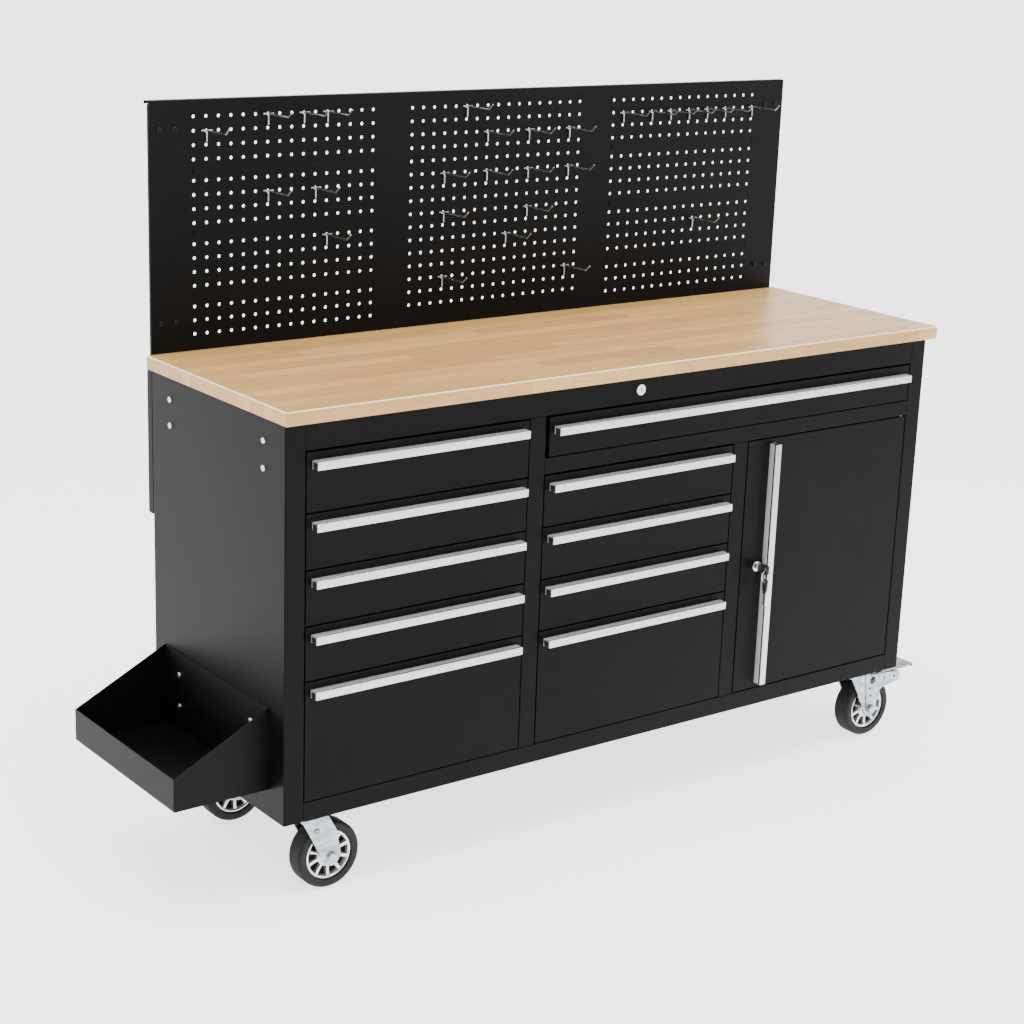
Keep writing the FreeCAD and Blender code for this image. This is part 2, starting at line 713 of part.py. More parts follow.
bank("left", LEFT_0, LEFT_1, RAIL_Z, [TOP_DRAWER_SLOT] + [SMALL_DRAWER_SLOT] * SMALL_DRAWERS)
bank("middle", MIDDLE_0, MIDDLE_1, DECK_Z, [SMALL_DRAWER_SLOT] * SMALL_DRAWERS)
drawer("long", MIDDLE_0, DOOR_1, LONG_Z, RAIL_Z, LONG_LEFT_GAP, FRONT_TOP_GAP, LONG_HANDLE_DROP)
add("slide_rails", *cabinet_slides)


# ---- cupboard door, hinge pins and locks ---------------------------------------------------------------

door_x0 = DOOR_0 + SIDE_GAP
door_z0 = BOTTOM_RAIL + SIDE_GAP
door_z1 = DECK_Z - SIDE_GAP
door_lock_x = door_x0 + DOOR_LOCK_SETBACK
door_lock_z = (door_z0 + door_z1) / 2


def lock(x, z, face_y, cam):
    """Cam lock in a sheet face: its housing with a flange, and its plug with the cam behind it."""
    housing = ring(x, face_y - LOCK_FLANGE, z, "y", LOCK_FLANGE_R, LOCK_PLUG_R + LOCK_CLEARANCE, LOCK_FLANGE)
    front = [e for e in housing.Edges if e.BoundBox.YMax < face_y - LOCK_FLANGE + 0.01 and e.Length > 60]
    housing = housing.makeFillet(LOCK_FLANGE_EDGE, front)
    barrel = ring(x, face_y, z, "y", LOCK_BARREL_R, LOCK_PLUG_R + LOCK_CLEARANCE, LOCK_LENGTH)
    plug_y = face_y - LOCK_FLANGE - LOCK_PLUG_PROUD
    cam_y = face_y + LOCK_LENGTH + CAM_BEHIND_BARREL
    plug = rod(x, plug_y, z, "y", LOCK_PLUG_R, cam_y - plug_y)
    half_w = KEYWAY_WIDTH / 2
    half_h = KEYWAY_HEIGHT / 2
    keyway_y = face_y - KEYWAY_FROM_FACE
    keyway = block(x - half_w, x + half_w, keyway_y, face_y + KEYWAY_DEPTH, z - half_h, z + half_h)
    boss_x, boss_z = CAM_BOSS_HALF
    cam_plate = block(x - boss_x, x + boss_x, cam_y, cam_y + CAM_SHEET, z - boss_z, z + boss_z)
    arm_x0 = min(x, x + cam[0]) - CAM_ARM_HALF
    arm_x1 = max(x, x + cam[0]) + CAM_ARM_HALF
    arm_z0 = min(z, z + cam[1]) - CAM_ARM_HALF
    arm_z1 = max(z, z + cam[1]) + CAM_ARM_HALF
    cam_arm = block(arm_x0, arm_x1, cam_y, cam_y + CAM_SHEET, arm_z0, arm_z1)
    return fused(housing, barrel), fused(plug.cut(keyway), cam_plate, cam_arm)


door_housing, door_plug = lock(door_lock_x, door_lock_z, 0, (0, -CAM_REACH))
drawer_housing, drawer_plug = lock(lock_x, lock_z, 0, (CAM_REACH, 0))
add("drawer_lock_housing", drawer_housing)
add("drawer_lock_plug", drawer_plug)
add("door_lock_plug", door_plug)

key_y = -LOCK_FLANGE - LOCK_PLUG_PROUD - KEY_OUT
blade_x0 = door_lock_x - KEY_BLADE / 2
blade_z0 = door_lock_z - KEY_BLADE_HEIGHT / 2
blade = block(blade_x0, blade_x0 + KEY_BLADE, key_y, KEY_BLADE_END, blade_z0, blade_z0 + KEY_BLADE_HEIGHT)
bow = prism(
    [(key_y + y, door_lock_z + z) for y, z in KEY_BOW_OUTLINE],
    in_yz(door_lock_x - KEY_BOW / 2), Vec(KEY_BOW, 0, 0), KEY_BOW_CORNERS,
)
ring_hole = rod(door_lock_x - KEY_BOW, key_y - KEY_RING_FROM_ROOT, door_lock_z, "x", KEY_RING_R, 2 * KEY_BOW)
add("door_key", blade.fuse(bow.cut(ring_hole)).removeSplitter())


def spare_key(x, y, hole_z):
    """Second key hanging bow up, with its hole's top on the ring's wire."""
    root_z = hole_z - KEY_RING_FROM_ROOT
    outline = [(y + across * SPARE_KEY_WIDTH, root_z - along) for along, across in KEY_BOW_OUTLINE]
    head = prism(outline, in_yz(x - KEY_BOW / 2), Vec(KEY_BOW, 0, 0), KEY_BOW_CORNERS)
    hole = rod(x - KEY_BOW, y, hole_z, "x", KEY_RING_R, 2 * KEY_BOW)
    low = root_z - SPARE_KEY_BLADE
    half = KEY_BLADE_HEIGHT / 2
    shank = block(x - KEY_BLADE / 2, x + KEY_BLADE / 2, y - half, y + half, low, root_z)
    return shank.fuse(head.cut(hole)).removeSplitter()


ring_y = key_y - KEY_RING_FROM_ROOT
ring_seat = KEY_RING_R - SPLIT_RING_WIRE_R - SPLIT_RING_SLACK
ring_top_z = door_lock_z - ring_seat
ring_low_z = ring_top_z - 2 * SPLIT_RING_R
ring_centre = Vec(door_lock_x, ring_y, ring_top_z - SPLIT_RING_R)
add("key_ring", Part.makeTorus(SPLIT_RING_R, SPLIT_RING_WIRE_R, ring_centre, AXES["y"]))
add("spare_key", spare_key(door_lock_x, ring_y, ring_low_z - ring_seat))

door_blank = block(door_x0, door_x1, 0, FRONT_PAN, door_z0, door_z1)
door_blank = door_blank.makeFillet(PRESSED_EDGE, [e for e in door_blank.Edges if e.BoundBox.YMax < 0.01])
door_hollow = block(door_x0 + SHEET, door_x1 - SHEET, SHEET, FRONT_PAN + 1, door_z0 + SHEET, door_z1 - SHEET)
door_skin = door_blank.cut(door_hollow)
door_skin = door_skin.cut(rod(door_lock_x, -1, door_lock_z, "y", LOCK_BARREL_R, SHEET + 2))
pin_bores = rod(hinge_x, hinge_y, door_z0 - 1, "z", HINGE_PIN_R + HINGE_CLEARANCE, door_z1 - door_z0 + 2)
door_skin = door_skin.cut(pin_bores)
bush_bore_r = HINGE_PIN_R + HINGE_CLEARANCE
bush_low = ring(hinge_x, hinge_y, door_z0 + SHEET, "z", HINGE_BUSH_R, bush_bore_r, HINGE_BUSH)
bush_high = ring(hinge_x, hinge_y, door_z1 - SHEET - HINGE_BUSH, "z", HINGE_BUSH_R, bush_bore_r, HINGE_BUSH)
add("door", door_skin, bush_low, bush_high, door_housing)


def hinge_pin(sheet_low, up):
    """Pin set in a frame lip, headed on the side away from the door and reaching into the door's bush."""
    if up:
        pin = rod(hinge_x, hinge_y, sheet_low, "z", HINGE_PIN_R, SHEET + HINGE_PIN_REACH)
        head = rod(hinge_x, hinge_y, sheet_low - HINGE_HEAD, "z", HINGE_HEAD_R, HINGE_HEAD)
    else:
        pin = rod(hinge_x, hinge_y, sheet_low - HINGE_PIN_REACH, "z", HINGE_PIN_R, SHEET + HINGE_PIN_REACH)
        head = rod(hinge_x, hinge_y, sheet_low + SHEET, "z", HINGE_HEAD_R, HINGE_HEAD)
    return fused(pin, head)


deck_clear_r = HINGE_HEAD_R + HINGE_HEAD_CLEARANCE
deck_clear = rod(hinge_x, hinge_y, DECK_Z + SHEET - 1, "z", deck_clear_r, HINGE_HEAD + 2)
nodes["inner_partitions"][2] = nodes["inner_partitions"][2].cut(deck_clear)
door_hinge_pins = [hinge_pin(BOTTOM_RAIL - SHEET, True), hinge_pin(DECK_Z, False)]

door_handle_x = door_x0 + DOOR_HANDLE_SETBACK
handle_length = door_z1 - door_z0 - 2 * DOOR_HANDLE_MARGIN
door_handle = []
for piece in handle_bar(handle_length):
    upright_piece = piece.copy()
    upright_piece.rotate(Vec(0, 0, 0), AXES["y"], -90)
    door_handle.append(moved(upright_piece, door_handle_x, 0, door_z0 + DOOR_HANDLE_MARGIN))
add("door_handle", *door_handle)


# ---- side bin -----------------------------------------------------------------------------------------

def side_tray():
    """Open bin of one folded sheet, with sloping ends, standing out from the left side."""
    low = TRAY_BOTTOM
    profile = [
        (0, low),
        (0, low + TRAY_BACK_HEIGHT),
        (-SHEET, low + TRAY_BACK_HEIGHT),
        (-TRAY_PROJECTION, low + TRAY_LIP_HEIGHT),
        (-TRAY_PROJECTION, low),
    ]
    outside = prism(profile, in_xz(TRAY_FRONT), Vec(0, TRAY_LENGTH, 0), [0, 0, 0, 0, SHEET + BEND])
    high = low + TRAY_BACK_HEIGHT + 10
    inside = [(-SHEET, low + SHEET), (-SHEET, high), (-TRAY_PROJECTION + SHEET, high)]
    inside.append((-TRAY_PROJECTION + SHEET, low + SHEET))
    space = prism(inside, in_xz(TRAY_FRONT + SHEET), Vec(0, TRAY_LENGTH - 2 * SHEET, 0), [BEND, 0, 0, BEND])
    return outside.cut(space)


add("side_tray", drilled(side_tray(), [screw_hole(*place) for place in tray_screws]))


# ---- pegboard, its uprights and its hooks ---------------------------------------------------------------

zone_span = (SIDE_ZONE_COLUMNS - 1) * HOLE_PITCH
middle_room = L - 2 * (2 * HOLE_MARGIN + zone_span)
middle_columns = int(middle_room / HOLE_PITCH + 1e-6) + 1
middle_start = L / 2 - (middle_columns - 1) * HOLE_PITCH / 2
side_rows = []
for row in range(SIDE_ZONE_ROWS):
    side_rows.append(BOARD_TOP - HOLE_TOP_MARGIN - row * HOLE_PITCH - BAND_EXTRA * (row // ROWS_PER_BAND))
middle_rows = [BOARD_TOP - HOLE_TOP_MARGIN - row * HOLE_PITCH for row in range(MIDDLE_ZONE_ROWS)]
zone_starts = {"left": HOLE_MARGIN, "middle": middle_start, "right": L - HOLE_MARGIN - zone_span}
zone_columns = {"left": SIDE_ZONE_COLUMNS, "middle": middle_columns, "right": SIDE_ZONE_COLUMNS}
zone_rows = {"left": side_rows, "middle": middle_rows, "right": side_rows}


def band_places():
    """Left end and middle height of each stiffening band, one after every fourth row of the side zones."""
    places = []
    for zone in ("left", "right"):
        for row in range(ROWS_PER_BAND - 1, SIDE_ZONE_ROWS - 1, ROWS_PER_BAND):
            places.append((zone_starts[zone], (side_rows[row] + side_rows[row + 1]) / 2))
    return places


def band_end_slots():
    """Shallow upright recess at each end of each band, pressed into the sheet's front."""
    slots = []
    for x, z in band_places():
        low = z - BAND_SLOT_HALF_HEIGHT
        high = z + BAND_SLOT_HALF_HEIGHT
        for slot_x in (x - BAND_SLOT_GAP - BAND_SLOT_WIDTH, x + zone_span + BAND_SLOT_GAP):
            slot_end = slot_x + BAND_SLOT_WIDTH
            corners = [(slot_x, low), (slot_end, low), (slot_end, high), (slot_x, high)]
            slots.append(prism(corners, in_xz(D), Vec(0, BAND_SLOT_DEPTH, 0), [1, 1, 1, 1]))
    return slots


def pegboard():
    """Perforated sheet with a folded top flange and narrow side returns."""
    bend_z = BOARD_TOP - BOARD_BEND_BELOW_TOP
    sheet = Part.makePolygon([Vec(0, D, H), Vec(L, D, H), Vec(L, D, bend_z), Vec(0, D, bend_z), Vec(0, D, H)])
    wires = [Part.Wire([Part.makeCircle(HOLE_R, Vec(x, D, z), AXES["y"])]) for x, z in peg_holes()]
    for x, _, z, _, _ in board_screws:
        for hole_x in (x, L - x):
            wires.append(Part.Wire([Part.makeCircle(SCREW_HOLE_R, Vec(hole_x, D, z), AXES["y"])]))
    plate = Part.Face([sheet] + wires, "Part::FaceMakerBullseye").extrude(Vec(0, SHEET, 0))
    plate = drilled(plate, band_end_slots())
    top = folded(
        [
            (D, bend_z),
            (D, BOARD_TOP),
            (D + BOARD_TOP_FLANGE, BOARD_TOP),
            (D + BOARD_TOP_FLANGE, BOARD_TOP - BOARD_TOP_LIP),
        ][::-1],
        SHEET, in_yz(0), Vec(L, 0, 0),
    )
    returns = []
    for x0 in (0, L - SHEET):
        returns.append(block(x0, x0 + SHEET, D + SHEET, D + BOARD_SIDE_RETURN, H, bend_z))
    bands = []
    for x, z in band_places():
        bands.append(block(x, x + zone_span, D - BAND_RAISE, D, z - BAND_HEIGHT / 2, z + BAND_HEIGHT / 2))
    return fused(plate, top, *returns, *bands)


def peg_holes():
    places = []
    for zone, start in zone_starts.items():
        for column in range(zone_columns[zone]):
            for z in zone_rows[zone]:
                places.append((start + column * HOLE_PITCH, z))
    return places


add("pegboard", pegboard())


def upright():
    path = [
        (UPRIGHT_INSET, BOARD_BACK + UPRIGHT_DEPTH),
        (UPRIGHT_INSET, BOARD_BACK),
        (UPRIGHT_INSET + UPRIGHT_WIDTH, BOARD_BACK),
        (UPRIGHT_INSET + UPRIGHT_WIDTH, BOARD_BACK + UPRIGHT_DEPTH),
    ]
    low = LEG_BOTTOM + UPRIGHT_ABOVE_LEG
    high = BOARD_TOP - BOARD_BEND_BELOW_TOP
    holes = [screw_hole(*place) for place in board_screws + leg_screws]
    return drilled(folded(path, SHEET, in_xy(low), Vec(0, 0, high - low)), holes)


def leg():
    far = D + LEG_DEPTH
    path = [(LEG_WIDTH, D + SHEET), (LEG_WIDTH, far), (0, far), (0, D), (LEG_FLANGE, D)]
    channel = folded(path, SHEET, in_xy(LEG_BOTTOM), Vec(0, 0, H - LEG_BELOW_TOP - LEG_BOTTOM))
    return drilled(channel, [screw_hole(*place) for place in leg_screws])


add("pegboard_posts", *both_ends([leg(), upright()]))


def wire(points, radius):
    """Round wire through the points, with a ball at each bend."""
    pieces = []
    for a, b in zip(points, points[1:]):
        pieces.append(Part.makeCylinder(radius, (b - a).Length, a, b - a))
    for point in points[1:-1]:
        pieces.append(Part.makeSphere(radius, point))
    return pieces


def hook(x, z):
    """Wire hook: cross bar and stem on the board, a prong through a hole, and an arm with a raised tip."""
    y = D - HOOK_WIRE_R - BAND_RAISE - HOOK_CLEARANCE
    bar = wire([Vec(x - HOOK_BAR / 2, y, z), Vec(x + HOOK_BAR / 2, y, z)], HOOK_WIRE_R)
    stem = wire([Vec(x, y, z), Vec(x, y, z - HOOK_STEM)], HOOK_WIRE_R)
    tip_y = y - HOOK_ARM
    arm = wire([Vec(x, y, z), Vec(x, tip_y, z), Vec(x, tip_y - HOOK_TIP_OUT, z + HOOK_TIP_UP)], HOOK_WIRE_R)
    prong_y = D + SHEET + HOOK_WIRE_R + HOOK_PRONG_CLEARANCE
    prong = wire([Vec(x, y, z), Vec(x, prong_y, z), Vec(x, prong_y, z + HOOK_PRONG_UP)], HOOK_WIRE_R)
    return bar[0].fuse(stem + arm + prong)


hooks = []
for zone, places in (("left", LEFT_HOOKS), ("middle", MIDDLE_HOOKS), ("right", RIGHT_HOOKS)):
    for column, row in places:
        if column < zone_columns[zone]:
            hooks.append(hook(zone_starts[zone] + column * HOLE_PITCH, zone_rows[zone][row]))
add("pegboard_hooks", *hooks)


# ---- fasteners ----------------------------------------------------------------------------------------

paired_screws = []
for place in side_screws + leg_screws + board_screws:
    paired_screws += list(screw(*place))
single_screws = []
for place in tray_screws:
    single_screws += list(screw(*place))
add("screws_and_pins", *both_ends(paired_screws), *single_screws, *door_hinge_pins)


# ---- casters ------------------------------------------------------------------------------------------

def caster_plate(x, y):
    """Fixed half of a caster: top plate, upper race and the kingpin that the fork turns on."""
    half_x = CASTER_PLATE_X / 2
    half_y = CASTER_PLATE_Y / 2
    plate = block(x - half_x, x + half_x, y - half_y, y + half_y, -CASTER_PLATE, 0)
    corners = [e for e in plate.Edges if abs(e.BoundBox.ZLength - CASTER_PLATE) < 0.01]
    plate = plate.makeFillet(CASTER_PLATE_CORNER, corners)
    bores = [rod(bx, by, -CASTER_PLATE - 1, "z", PLATE_BOLT_R, CASTER_PLATE + 2) for bx, by in plate_holes]
    plate = drilled(plate, bores)
    race = rod(x, y, FORK_TOP + RACE_GAP, "z", RACE_R, RACE_HEIGHT - RACE_GAP)
    pin_length = RACE_HEIGHT + FORK_SHEET + KINGPIN_REACH
    pin = rod(x, y, -CASTER_PLATE - pin_length, "z", KINGPIN_R, pin_length)
    head = rod(x, y, -CASTER_PLATE - pin_length - KINGPIN_HEAD, "z", KINGPIN_HEAD_R, KINGPIN_HEAD)
    return fused(plate, race, pin, head)


caster_fixed = []
for centre_x in CASTER_XS.values():
    for centre_y in CASTER_YS.values():
        caster_fixed.append(caster_plate(centre_x, centre_y))
for hole_x, hole_y in plate_holes:
    bolt = rod(hole_x, hole_y, -CASTER_PLATE, "z", PLATE_BOLT_R, CASTER_PLATE + SHEET + PLATE_BOLT_REACH)
    head_z = -CASTER_PLATE - PLATE_BOLT_HEAD
    head = hexagon(Vec(hole_x, hole_y, head_z), AXES["z"], PLATE_BOLT_ACROSS, PLATE_BOLT_HEAD)
    nut = hexagon(Vec(hole_x, hole_y, SHEET), AXES["z"], PLATE_BOLT_ACROSS, PLATE_BOLT_NUT)
    caster_fixed += [fused(bolt, head), nut.cut(bolt)]
add("caster_plates", *caster_fixed)


def fork(x, y, braked):
    """Pressed swivel fork with its axle bolt, and on a braked caster the bracket that carries the pedal."""
    wheel_x = x + CASTER_TRAIL
    half = FORK_WIDTH / 2
    crown = block(x - half, x + half, y - half, y + half, FORK_TOP - FORK_SHEET, FORK_TOP)
    crown_bore_r = KINGPIN_R + KINGPIN_CLEARANCE
    crown = crown.cut(rod(x, y, FORK_TOP - FORK_SHEET - 1, "z", crown_bore_r, FORK_SHEET + 2))
    leg_points = [(x - half, FORK_TOP), (x + half, FORK_TOP)]
    leg_points += offset([FORK_KNEE], x + half, FORK_TOP)
    leg_points += offset(FORK_ROUND_AXLE, wheel_x, AXLE_Z)
    leg_points += offset([FORK_HEEL], x - half, FORK_TOP)
    sides = []
    for leg_y in (y - half, y + half - FORK_SHEET):
        leg_plate = prism(leg_points, in_xz(leg_y), Vec(0, FORK_SHEET, 0), FORK_CORNERS)
        sides.append(leg_plate)
    yoke = fused(crown, *sides)
    bore = rod(wheel_x, y - half - 1, AXLE_Z, "y", AXLE_R, FORK_WIDTH + 2)
    outer = y - half
    plates = []
    if braked:
        arm_points = offset(BRACKET_FRONT, x, FORK_TOP)
        arm_points += offset(BRACKET_ROUND_AXLE, wheel_x, AXLE_Z)
        arm_points += offset([BRACKET_BACK], x, FORK_TOP)
        outer = y - half - BRAKE_SHEET
        for plate_y in (outer, y + half):
            side = prism(arm_points, in_xz(plate_y), Vec(0, BRAKE_SHEET, 0), BRACKET_CORNERS)
            side = side.cut(rod(wheel_x, plate_y - 1, AXLE_Z, "y", AXLE_R, BRAKE_SHEET + 2))
            pivot = rod(x + PEDAL_PIVOT_X, plate_y - 1, PEDAL_PIVOT_Z, "y", PEDAL_PIN_R, BRAKE_SHEET + 2)
            spare_holes = []
            for hole_x, hole_z in offset(BRACKET_HOLES, x, FORK_TOP):
                spare_holes.append(rod(hole_x, plate_y - 1, hole_z, "y", BRACKET_HOLE_R, BRAKE_SHEET + 2))
            plates.append(drilled(side, [pivot] + spare_holes))
        pin_y = outer - PEDAL_PIN_PROUD
        pin_length = FORK_WIDTH + 2 * (BRAKE_SHEET + PEDAL_PIN_PROUD)
        plates.append(rod(x + PEDAL_PIVOT_X, pin_y, PEDAL_PIVOT_Z, "y", PEDAL_PIN_R, pin_length))
        yoke = yoke.cut(rod(x + PEDAL_PIVOT_X, y - half - 1, PEDAL_PIVOT_Z, "y", PEDAL_PIN_R, FORK_WIDTH + 2))
    span = 2 * (y - outer)
    axle = rod(wheel_x, outer, AXLE_Z, "y", AXLE_R, span)
    cap = rod(wheel_x, outer - AXLE_HEAD, AXLE_Z, "y", AXLE_HEAD_R, AXLE_HEAD)
    rounded = [e for e in cap.Edges if e.BoundBox.YMax < outer - AXLE_HEAD + 0.01][:1]
    cap = cap.makeFillet(AXLE_HEAD_EDGE, rounded)
    nut = hexagon(Vec(wheel_x, outer + span, AXLE_Z), AXES["y"], AXLE_NUT_ACROSS, AXLE_HEAD)
    return [yoke.cut(bore)] + plates + [fused(axle, cap, nut)]


def wheel(x, y):
    """Spoked rim with its hub, and the rubber tyre round it."""
    z = AXLE_Z
    web = ring(x, y - RIM_WEB / 2, z, "y", RIM_R - RIM_RING + 1, RIM_HUB_R - 1, RIM_WEB)
    hub = rod(x, y - RIM_HUB_WIDTH / 2, z, "y", RIM_HUB_R, RIM_HUB_WIDTH)
    band = ring(x, y - RIM_WIDTH / 2, z, "y", RIM_R, RIM_R - RIM_RING, RIM_WIDTH)
    windows = []
    reach_in = RIM_HUB_R + WINDOW_FROM_HUB
    reach_out = RIM_R - RIM_RING - WINDOW_FROM_RING
    for k in range(RIM_SPOKES):
        narrow = 0.5 * reach_in * math.tan(math.pi / RIM_SPOKES)
        broad = reach_out * math.tan(math.pi / RIM_SPOKES) - SPOKE_HALF
        corners = [(reach_in, -narrow), (reach_out, -broad), (reach_out, broad), (reach_in, narrow)]
        window = prism(corners, in_xz(-RIM_WEB), Vec(0, 2 * RIM_WEB, 0), WINDOW_CORNERS)
        window.rotate(Vec(0, 0, 0), AXES["y"], 360 * k / RIM_SPOKES)
        windows.append(moved(window, x, y, z))
    rim = fused(drilled(web, windows), hub, band)
    rim = rim.cut(rod(x, y - RIM_HUB_WIDTH, z, "y", AXLE_R + AXLE_CLEARANCE, 2 * RIM_HUB_WIDTH))
    half = WHEEL_WIDTH / 2
    section = [(y - half, RIM_R), (y + half, RIM_R), (y + half, WHEEL_R), (y - half, WHEEL_R)]
    corner_radii = [TYRE_BEAD, TYRE_BEAD, TYRE_SHOULDER, TYRE_SHOULDER]
    wire_loop = rounded_wire(section, corner_radii, lambda u, v: Vec(x, u, z + v))
    tyre = Part.Face(wire_loop).revolve(Vec(x, 0, z), AXES["y"], 360)
    return [rim, tyre]


def brake_pedal(x, y):
    """Lever between the bracket plates: a tread to press, two cheeks on the pivot, a shoe over the tyre."""
    inner = FORK_INNER / 2 - PEDAL_SIDE_GAP
    pivot_x = x + PEDAL_PIVOT_X
    cheeks = []
    cheek_points = offset(CHEEK_ROUND_PIVOT, pivot_x, PEDAL_PIVOT_Z)
    cheek_points += offset(CHEEK_FRONT, x, FORK_TOP)
    cheek_points += offset([CHEEK_UNDER_PIVOT], pivot_x, PEDAL_PIVOT_Z)
    for cheek_y in (y - inner, y + inner - PEDAL_SHEET):
        cheek = prism(cheek_points, in_xz(cheek_y), Vec(0, PEDAL_SHEET, 0), CHEEK_CORNERS)
        cheeks.append(cheek)
    tread = folded(
        offset(TREAD_OUTLINE, x, FORK_TOP),
        PEDAL_SHEET, in_xz(y - FORK_WIDTH / 2), Vec(0, FORK_WIDTH, 0), TREAD_BEND,
    )
    low = FORK_TOP + SHOE_LOW
    high = FORK_TOP + PEDAL_SHEET * 4
    trim = block(x + TREAD_BACK, x + TREAD_FRONT, y - FORK_WIDTH, y + FORK_WIDTH, low, high)
    slab = block(x + TREAD_BACK, x + TREAD_FRONT, y - inner, y + inner, low, high)
    tread = tread.cut(trim.cut(slab))
    shoe = block(x + SHOE_X, x + SHOE_X + SHOE_SHEET, y - inner, y + inner, low, FORK_TOP + SHOE_HIGH)
    pedal = fused(tread, shoe, *cheeks)
    bore = rod(pivot_x, y - FORK_WIDTH, PEDAL_PIVOT_Z, "y", PEDAL_PIN_R + PEDAL_CLEARANCE, 2 * FORK_WIDTH)
    return pedal.cut(bore)


for row_name, centre_y in CASTER_YS.items():
    for side_name, centre_x in CASTER_XS.items():
        label = row_name + "_" + side_name
        add("caster_fork_" + label, *fork(centre_x, centre_y, side_name == "right"))
        add("caster_wheel_" + label, *wheel(centre_x + CASTER_TRAIL, centre_y))
    add("brake_pedal_" + row_name, brake_pedal(CASTER_XS["right"], centre_y))


# ---- origin and export --------------------------------------------------------------------------------

whole = Part.Compound([solid for solids in nodes.values() for solid in solids])
box = whole.optimalBoundingBox(False, False)
shift = Vec(-(box.XMin + box.XMax) / 2, -(box.YMin + box.YMax) / 2, CASTER_HEIGHT)
os.makedirs("parts", exist_ok=True)
for name, solids in nodes.items():
    shape = solids[0] if len(solids) == 1 else Part.Compound(solids)
    placed = shape.copy()
    placed.translate(shift)
    placed.exportStep("parts/" + name + ".step")
print("nodes", len(nodes), "shift", [round(v, 4) for v in shift])
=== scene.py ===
"""Looks of a mobile workbench: black steel, a butcher-block top, aluminium pulls and spoked casters.

Metres throughout. Each finish is a small graph of shader nodes, and each new piece is a grid of points
worked out from a profile. The frame's own parts keep their shapes and take these finishes.
"""

import json
import math

import bpy
import numpy as np
from mathutils import Euler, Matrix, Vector

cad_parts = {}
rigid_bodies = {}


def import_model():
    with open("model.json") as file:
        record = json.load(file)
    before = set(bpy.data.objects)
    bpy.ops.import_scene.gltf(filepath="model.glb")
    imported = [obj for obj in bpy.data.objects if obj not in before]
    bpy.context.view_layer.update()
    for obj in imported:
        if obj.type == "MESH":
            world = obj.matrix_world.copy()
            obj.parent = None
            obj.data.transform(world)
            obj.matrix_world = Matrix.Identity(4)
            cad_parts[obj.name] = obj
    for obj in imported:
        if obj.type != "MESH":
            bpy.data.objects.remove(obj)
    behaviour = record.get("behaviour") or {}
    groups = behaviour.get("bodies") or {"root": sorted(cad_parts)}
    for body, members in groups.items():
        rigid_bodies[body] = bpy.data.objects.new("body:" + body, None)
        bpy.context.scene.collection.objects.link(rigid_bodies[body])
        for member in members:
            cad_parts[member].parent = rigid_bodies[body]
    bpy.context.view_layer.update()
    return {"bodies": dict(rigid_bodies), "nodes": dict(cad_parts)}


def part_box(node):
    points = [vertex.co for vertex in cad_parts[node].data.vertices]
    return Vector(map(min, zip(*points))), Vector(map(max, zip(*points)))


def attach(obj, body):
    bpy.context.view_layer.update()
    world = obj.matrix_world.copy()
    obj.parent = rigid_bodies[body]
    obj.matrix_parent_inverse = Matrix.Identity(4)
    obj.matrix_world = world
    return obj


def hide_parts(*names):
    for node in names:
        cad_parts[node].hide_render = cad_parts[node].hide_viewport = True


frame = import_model()
nodes = frame["nodes"]
MM = 0.001

# ---- camera ---------------------------------------------------------------------------------------

CAMERA_PLACE = (-2.4625, -3.1766, 1.7449)
CAMERA_TURN = (73.6215, -1.9499, -36.5024)
CAMERA_LENS = 75.149

camera_data = bpy.data.cameras.new("bench_camera")
camera_data.lens = CAMERA_LENS
camera_data.sensor_width = 36.0
camera_data.clip_end = 60.0
camera = bpy.data.objects.new("bench_camera", camera_data)
camera.location = CAMERA_PLACE
camera.rotation_euler = Euler([math.radians(angle) for angle in CAMERA_TURN], "XYZ")
bpy.context.scene.collection.objects.link(camera)
bpy.context.scene.camera = camera


# ---- shader maths ---------------------------------------------------------------------------------

class Reading:
    """A number on a shader socket. A sum written with it adds its Math node to the same finish."""

    def __init__(self, finish, socket):
        self.finish = finish
        self.socket = socket

    def __add__(self, other):
        return self.finish.maths("ADD", self, other)

    def __radd__(self, other):
        return self.finish.maths("ADD", other, self)

    def __sub__(self, other):
        return self.finish.maths("SUBTRACT", self, other)

    def __rsub__(self, other):
        return self.finish.maths("SUBTRACT", other, self)

    def __mul__(self, other):
        return self.finish.maths("MULTIPLY", self, other)

    def __rmul__(self, other):
        return self.finish.maths("MULTIPLY", other, self)

    def __truediv__(self, other):
        return self.finish.maths("DIVIDE", self, other)

    def __pow__(self, other):
        return self.finish.maths("POWER", self, other)

    def __gt__(self, other):
        return self.finish.maths("GREATER_THAN", self, other)

    def __lt__(self, other):
        return self.finish.maths("LESS_THAN", self, other)

    def __abs__(self):
        return self.finish.maths("ABSOLUTE", self)


